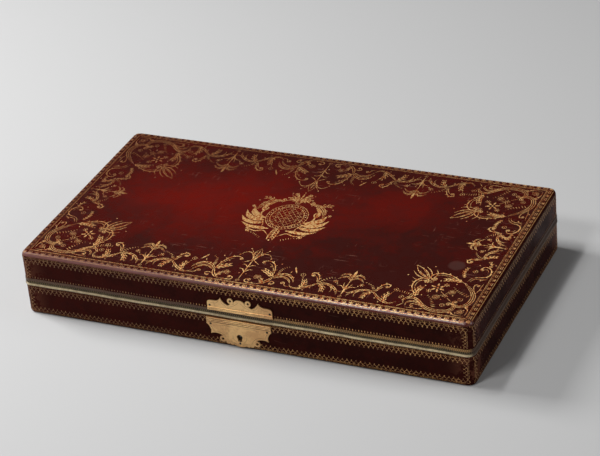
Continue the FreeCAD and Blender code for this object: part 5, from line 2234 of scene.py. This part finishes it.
@dataclass
class Linings:
    """Watered silk on card inside the lid and the base, and over the rims' wood."""
    sizes: BoxSizes
    finishes: Finishes
    thick: float = 0.75
    rim_thick: float = 0.3
    crown: float = 0.15
    rim_crown: float = 0.05
    rim_pitch: float = 12.0
    hinge_gap: float = 0.3
    lock_middle: float = -1.0
    lock_gap: float = 31.0
    staple_gap: float = 20.5

    def build(self) -> None:
        """Builds the linings of both halves and of their rims."""
        low, high = box_of("lock_back_plate")
        self._lining("paper_well_silk", "base", "paper_well_lining", 0.3, True,
                     (low.x - 0.2, high.x + 0.2))
        self._lining("shelf_silk", "base", "shelf_lining", 0.25, False)
        self._lining("lid_silk", "lid", "lid_lining", 0.4, True)
        self._rim("base_rim_silk", "base", self.sizes.base_rim, 1, self.lock_gap)
        self._rim("lid_rim_silk", "lid", self.sizes.lid_rim, -1, self.staple_gap)

    def _lining(self, name: str, body: str, node: str, crown: float, walled: bool,
                lock: Point | None = None) -> None:
        """Lines the bottom of a hollow, which is the top of the lid's, and its walls.

        Args:
            name: The piece's name.
            body: The body that it rides on.
            node: The CAD node that it stands for.
            crown: How far the bottom rises in its middle.
            walled: Whether the hollow has walls that take silk.
            lock: The part of the front wall that the lock takes.
        """
        low, high = box_of(node)
        middle = (low + high) / 2
        half = (high - low) / 2
        draft = Draft("crown")
        inset = self.thick + 0.05
        spare = inset if walled else 0.0
        bottom, way = (high.z, -1) if body == "lid" else (low.z, 1)
        soft_panel(draft, Face((middle.x, middle.y, bottom), (way, 0, 0), (0, 1, 0),
                               half.x - spare, half.y - spare), self.thick, crown)
        ends = (low.x, *lock, high.x) if lock else (low.x, high.x)
        walls = [((left + right) / 2, low.y, -1, 0, (right - left) / 2)
                 for left, right in zip(ends[::2], ends[1::2])]
        walls += [(middle.x, high.y, 1, 0, half.x), (low.x, middle.y, 0, 1, half.y - inset),
                  (high.x, middle.y, 0, -1, half.y - inset)]
        for x, y, along_x, along_y, reach in walls if walled else ():
            soft_panel(draft, Face((x, y, middle.z), (along_x, along_y, 0), (0, 0, 1), reach,
                                   half.z), self.thick, self.crown)
        draft.build(Piece(name, self.finishes.silk, Slot.SILK, body, (node,), 50.0))

    def _rim(self, name: str, body: str, z: float, way: int, gap: float) -> None:
        """Turns silk over the wood of a rim, inside the braid.

        Args:
            name: The piece's name.
            body: The body that it rides on.
            z: The rim's height.
            way: 1 where the rim faces up, -1 where it faces down.
            gap: Half the part of the front that the lock takes.
        """
        sizes = self.sizes
        draft = Draft("crown")
        outer_x = sizes.half_x - sizes.braid_reach
        strip = (sizes.half_y - sizes.braid_reach - sizes.inner_y) / 2
        middle_y = sizes.inner_y + strip
        (left_low, left_high), (right_low, right_high) = (
            box_of("hinge_base_leaf_" + side) for side in ("left", "right"))
        runs = [(-outer_x, self.lock_middle - gap, -middle_y),
                (self.lock_middle + gap, outer_x, -middle_y),
                (-outer_x, left_low.x - self.hinge_gap, middle_y),
                (left_high.x + self.hinge_gap, right_low.x - self.hinge_gap, middle_y),
                (right_high.x + self.hinge_gap, outer_x, middle_y)]
        strips = [((left + right) / 2, y, (right - left) / 2, strip) for left, right, y in runs]
        strips += [(side * (sizes.inner_x + strip), 0, strip, sizes.inner_y) for side in (-1, 1)]
        for x, y, half_s, half_t in strips:
            soft_panel(draft, Face((x, y, z), (1, 0, 0), (0, way, 0), half_s, half_t),
                       self.rim_thick, self.rim_crown, self.rim_pitch)
        draft.build(Piece(name, self.finishes.silk, Slot.SILK, body, (), 50.0))


# ---- hardware and woodwork ----
@dataclass
class Hardware:
    """The lock, its plates, the hinges and the ring pull, with edges worn so many millimetres."""
    nodes: dict
    edges: dict[str, float] = field(default_factory=lambda: {
        "upper_lock_plate": 0.22, "lower_lock_plate": 0.22, "lock_case": 0.1,
        "lock_back_plate": 0.15, "lock_bolt": 0.15, "lid_staple_plate": 0.12,
        "hinge_base_leaf_left": 0.2, "hinge_base_leaf_right": 0.2, "hinge_lid_leaf_left": 0.2,
        "hinge_lid_leaf_right": 0.2, "pull_rosette": 0.2})

    def build(self) -> None:
        """Rounds the edges of every metal piece that has sharp ones."""
        for name, width in self.edges.items():
            modifiers = self.nodes[name].modifiers
            modifiers.new("weld", "WELD").merge_threshold = 0.002 * MM
            bevel = modifiers.new("bevel", "BEVEL")
            bevel.width = width * MM
            bevel.segments = 2
            bevel.limit_method = "ANGLE"
            bevel.angle_limit = radians(35)
            modifiers.new("normals", "WEIGHTED_NORMAL").keep_sharp = True


@dataclass
class PlateEngraving:
    """Shallow graved lines on the two lock plates, and painted shade between their reeds."""
    sizes: BoxSizes
    finishes: Finishes
    plate_face: float = 1.2
    graved_lift: float = 0.03
    margin: float = 1.2
    upper: tuple[tuple, ...] = (
        ([(1.0, 12.4), (5.0, 9.4), (9.6, 7.0), (13.6, 6.4)], 0.42, 0.6, 0.2),
        ([(14.0, 6.6), (18.0, 9.0), (20.6, 12.6)], 0.42, 0.6, 0.2),
        ([(21.4, 12.2), (25.0, 9.0), (30.6, 8.6)], 0.42, 0.6, 0.3),
        ([(2.0, 5.4), (9.0, 4.8), (16.0, 5.0)], 0.35, 0.4, 0.2),
        ([(5.8, 13.2), (6.6, 10.6), (9.4, 9.4)], 0.36, 0.3, 0.3))
    lower: tuple[tuple, ...] = (
        ([(31.6, -8.6), (28.6, -12.4), (28.0, -16.0)], 0.42, 0.6, 0.3),
        ([(27.4, -15.8), (22.0, -15.6), (16.4, -18.4), (12.4, -24.4)], 0.42, 0.5, 0.3),
        ([(11.4, -25.2), (7.4, -25.4), (3.6, -27.0)], 0.4, 0.4, 0.3),
        ([(6.0, -8.0), (14.0, -7.2), (22.0, -8.4)], 0.35, 0.3, 0.3),
        ([(7.2, -16.6), (7.0, -21.0), (4.0, -24.6)], 0.38, 0.3, 0.2))

    def build(self) -> None:
        """Builds both plates' engraving: graved lines, and painted shade in the hollows of the
        reeds.
        """
        for side, body, rows, hollows, width, lift in (
                ("upper", "lid", self.upper, (1.35, 2.65), 0.5, 0.42),
                ("lower", "base", self.lower, (-1.55, -3.25, -4.85), 0.76, 0.36)):
            low, high = box_of(side + "_lock_plate")
            origin = ((low.x + high.x) / 2, low.z if body == "lid" else high.z)
            half = (high.x - low.x) / 2 - self.margin
            draft = Draft("gild")
            self._engrave(draft, origin, with_mirror(strokes(*rows)), self.graved_lift)
            # Painted shade: dark strips in the hollows between the reeds.
            self._engrave(draft, origin, [straight(-half, half, height, width)
                                          for height in hollows], lift)
            draft.build(Piece(side + "_plate_engraving", self.finishes.graving, Slot.BRASS, body))

    def _engrave(self, draft: Draft, origin: Point, marks: list[Mark], lift: float) -> None:
        """Lays dark fine lines over a plate's face.

        Args:
            draft: What they are added to.
            origin: Where the marks' own origin lies, along and up.
            marks: The lines.
            lift: How far they stand over the face.
        """
        face = -self.sizes.half_y - self.plate_face
        for mark in marks:
            rings = []
            for at, way, half in zip(mark.line, headings(mark.line), mark.widths):
                x, z = ahead(origin, at, 1)
                left, right = spoke((x, z), left_of(way), half, -half)
                rings.append([(left[0], face - lift + 0.05, left[1]), (x, face - lift, z),
                              (right[0], face - lift + 0.05, right[1]), (x, face - lift + 0.08, z)])
            draft.loft(rings)


@dataclass
class Woodwork:
    """Every CAD node that stays: its finish, by slot and by the way that its grain runs."""
    nodes: dict
    record: dict
    finishes: Finishes
    cross_grained: tuple[str, ...] = ("base_left_end", "base_right_end", "base_bulkhead",
                                      "lid_left_end", "lid_right_end")
    drawer_long: tuple[str, ...] = ("drawer_side_front", "drawer_side_rear", "drawer_dividers",
                                    "drawer_bottom")
    drawer_cross: tuple[str, ...] = ("drawer_front", "drawer_back")
    nails: tuple[str, ...] = ("upper_plate_pins", "lower_plate_pins")

    def build(self) -> None:
        """Dresses every node."""
        made = self.finishes
        finish = {row["node"]: made.by_slot[Slot(row["material_slot"])]
                  for row in self.record["subparts"]}
        for names, material in ((self.cross_grained, made.cross_timber), (self.nails, made.nail),
                                (self.drawer_long, made.drawer_timber),
                                (self.drawer_cross, made.drawer_cross_timber)):
            finish.update(dict.fromkeys(names, material))
        for name, node in self.nodes.items():
            node.data.materials.clear()
            node.data.materials.append(finish[name])
            LOG.info("%s: %s", name, finish[name].name)


# ---- studio ----
@dataclass
class Studio:
    """The camera, the lamps, the pale floor and the surround."""
    azimuth: float = 25.9246
    elevation: float = 30.472
    distance: float = 2.3290
    target: Place = (-0.0047, 0.0318, 0.0417)
    roll: float = 5.468
    lens: float = 136.45
    floor_colour: Colour = srgb(197, 197, 197)
    lamp_aim: Place = (0.0, 0.0, 0.03)

    def build(self) -> None:
        """Sets everything up; the key lamp is on the left."""
        self.camera()
        self._lamp("key_lamp", (-1.7, 0.1, 1.35), (0.8, 0.6), 38.0)
        self._lamp("front_lamp", (-0.6, -1.5, 1.95), (0.65, 0.42), 19.0)
        self._lamp("top_lamp", (-0.45, -0.09, 1.75), (0.5, 0.12), 9.0)
        self._lamp("right_lamp", (2.0, 0.3, 1.3), (1.0, 0.8), 8.0)
        self.floor()
        self.surround()

    @staticmethod
    def _stand(name: str, data: ID, turn: Matrix, place: Vector) -> Object:
        """Puts an object into the scene.

        Args:
            name: Its name.
            data: Its data.
            turn: Its rotation.
            place: Its place.

        Returns:
            The new object.
        """
        made = bpy.data.objects.new(name, data)
        bpy.context.scene.collection.objects.link(made)
        made.matrix_world = Matrix.Translation(place) @ turn.to_4x4()
        return made

    def camera(self) -> None:
        """The camera at the picture's viewing angle."""
        turn, tilt = radians(self.azimuth), radians(self.elevation)
        back = Vector((sin(turn) * cos(tilt), -cos(turn) * cos(tilt),
                       sin(tilt)))
        right = back.cross(Vector((0.0, 0.0, -1.0))).normalized()
        down = right.cross(back)
        lean = radians(self.roll)
        across = cos(lean) * right + sin(lean) * down
        up = sin(lean) * right - cos(lean) * down
        data = bpy.data.cameras.new("camera")
        data.lens = self.lens
        data.sensor_width = 36.0
        data.clip_start = 0.05
        data.clip_end = 50.0
        bpy.context.scene.camera = self._stand(
            "camera", data, Matrix((across, up, back)).transposed(),
            Vector(self.target) + back * self.distance)

    def _lamp(self, name: str, place: Place, size: Point, power: float) -> None:
        """A soft white rectangular lamp that faces the box.

        Args:
            name: Its name.
            place: Where it hangs.
            size: Its width and height.
            power: Its power in watts.
        """
        data = bpy.data.lights.new(name, "AREA")
        data.shape = "RECTANGLE"
        data.size, data.size_y = size
        data.energy = power
        way = Vector(self.lamp_aim) - Vector(place)
        self._stand(name, data, way.to_track_quat("-Z", "Y").to_matrix(), Vector(place))

    def floor(self) -> None:
        """A plain pale floor that shows as its own colour and keeps the box's shadow."""
        made = bmesh.new()
        bmesh.ops.create_grid(made, x_segments=6, y_segments=6, size=6.0)
        mesh = bpy.data.meshes.new("floor")
        made.to_mesh(mesh)
        made.free()
        material = bpy.data.materials.new("pale_floor")
        material.use_nodes = True
        shader = material.node_tree.nodes["Principled BSDF"]
        for name, value in (("Base Color", self.floor_colour), ("Roughness", 0.9),
                            ("Specular IOR Level", 0.1)):
            feed(shader.inputs[name], value)
        mesh.materials.append(material)
        self._stand("floor", mesh, Matrix.Identity(3), Vector())

    @staticmethod
    def surround() -> None:
        """A plain grey surround that lights softly from all sides."""
        world = bpy.data.worlds.new("surround")
        world.use_nodes = True
        tree = world.node_tree
        tree.nodes.clear()
        soft = new_node(tree, "Background", {"Color": (0.98, 0.99, 1.0), "Strength": 0.04})
        new_node(tree, "OutputWorld", {0: Signal(soft.outputs[0])})
        bpy.context.scene.world = world
        bpy.context.scene.view_settings.view_transform = "Standard"


def main() -> None:
    """Builds the box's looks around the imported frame."""
    logging.basicConfig(level=logging.INFO, format="%(message)s")
    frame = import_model()
    sizes = BoxSizes.from_frame()
    finishes = Finishes(Effects())
    Woodwork(frame["nodes"], frame["record"], finishes).build()
    Studio().build()
    for maker in (LeatherCovers, GoldTooling, Braids, Linings):
        maker(sizes, finishes).build()
    Hardware(frame["nodes"]).build()
    PlateEngraving(sizes, finishes).build()


if __name__ == "__main__":
    main()
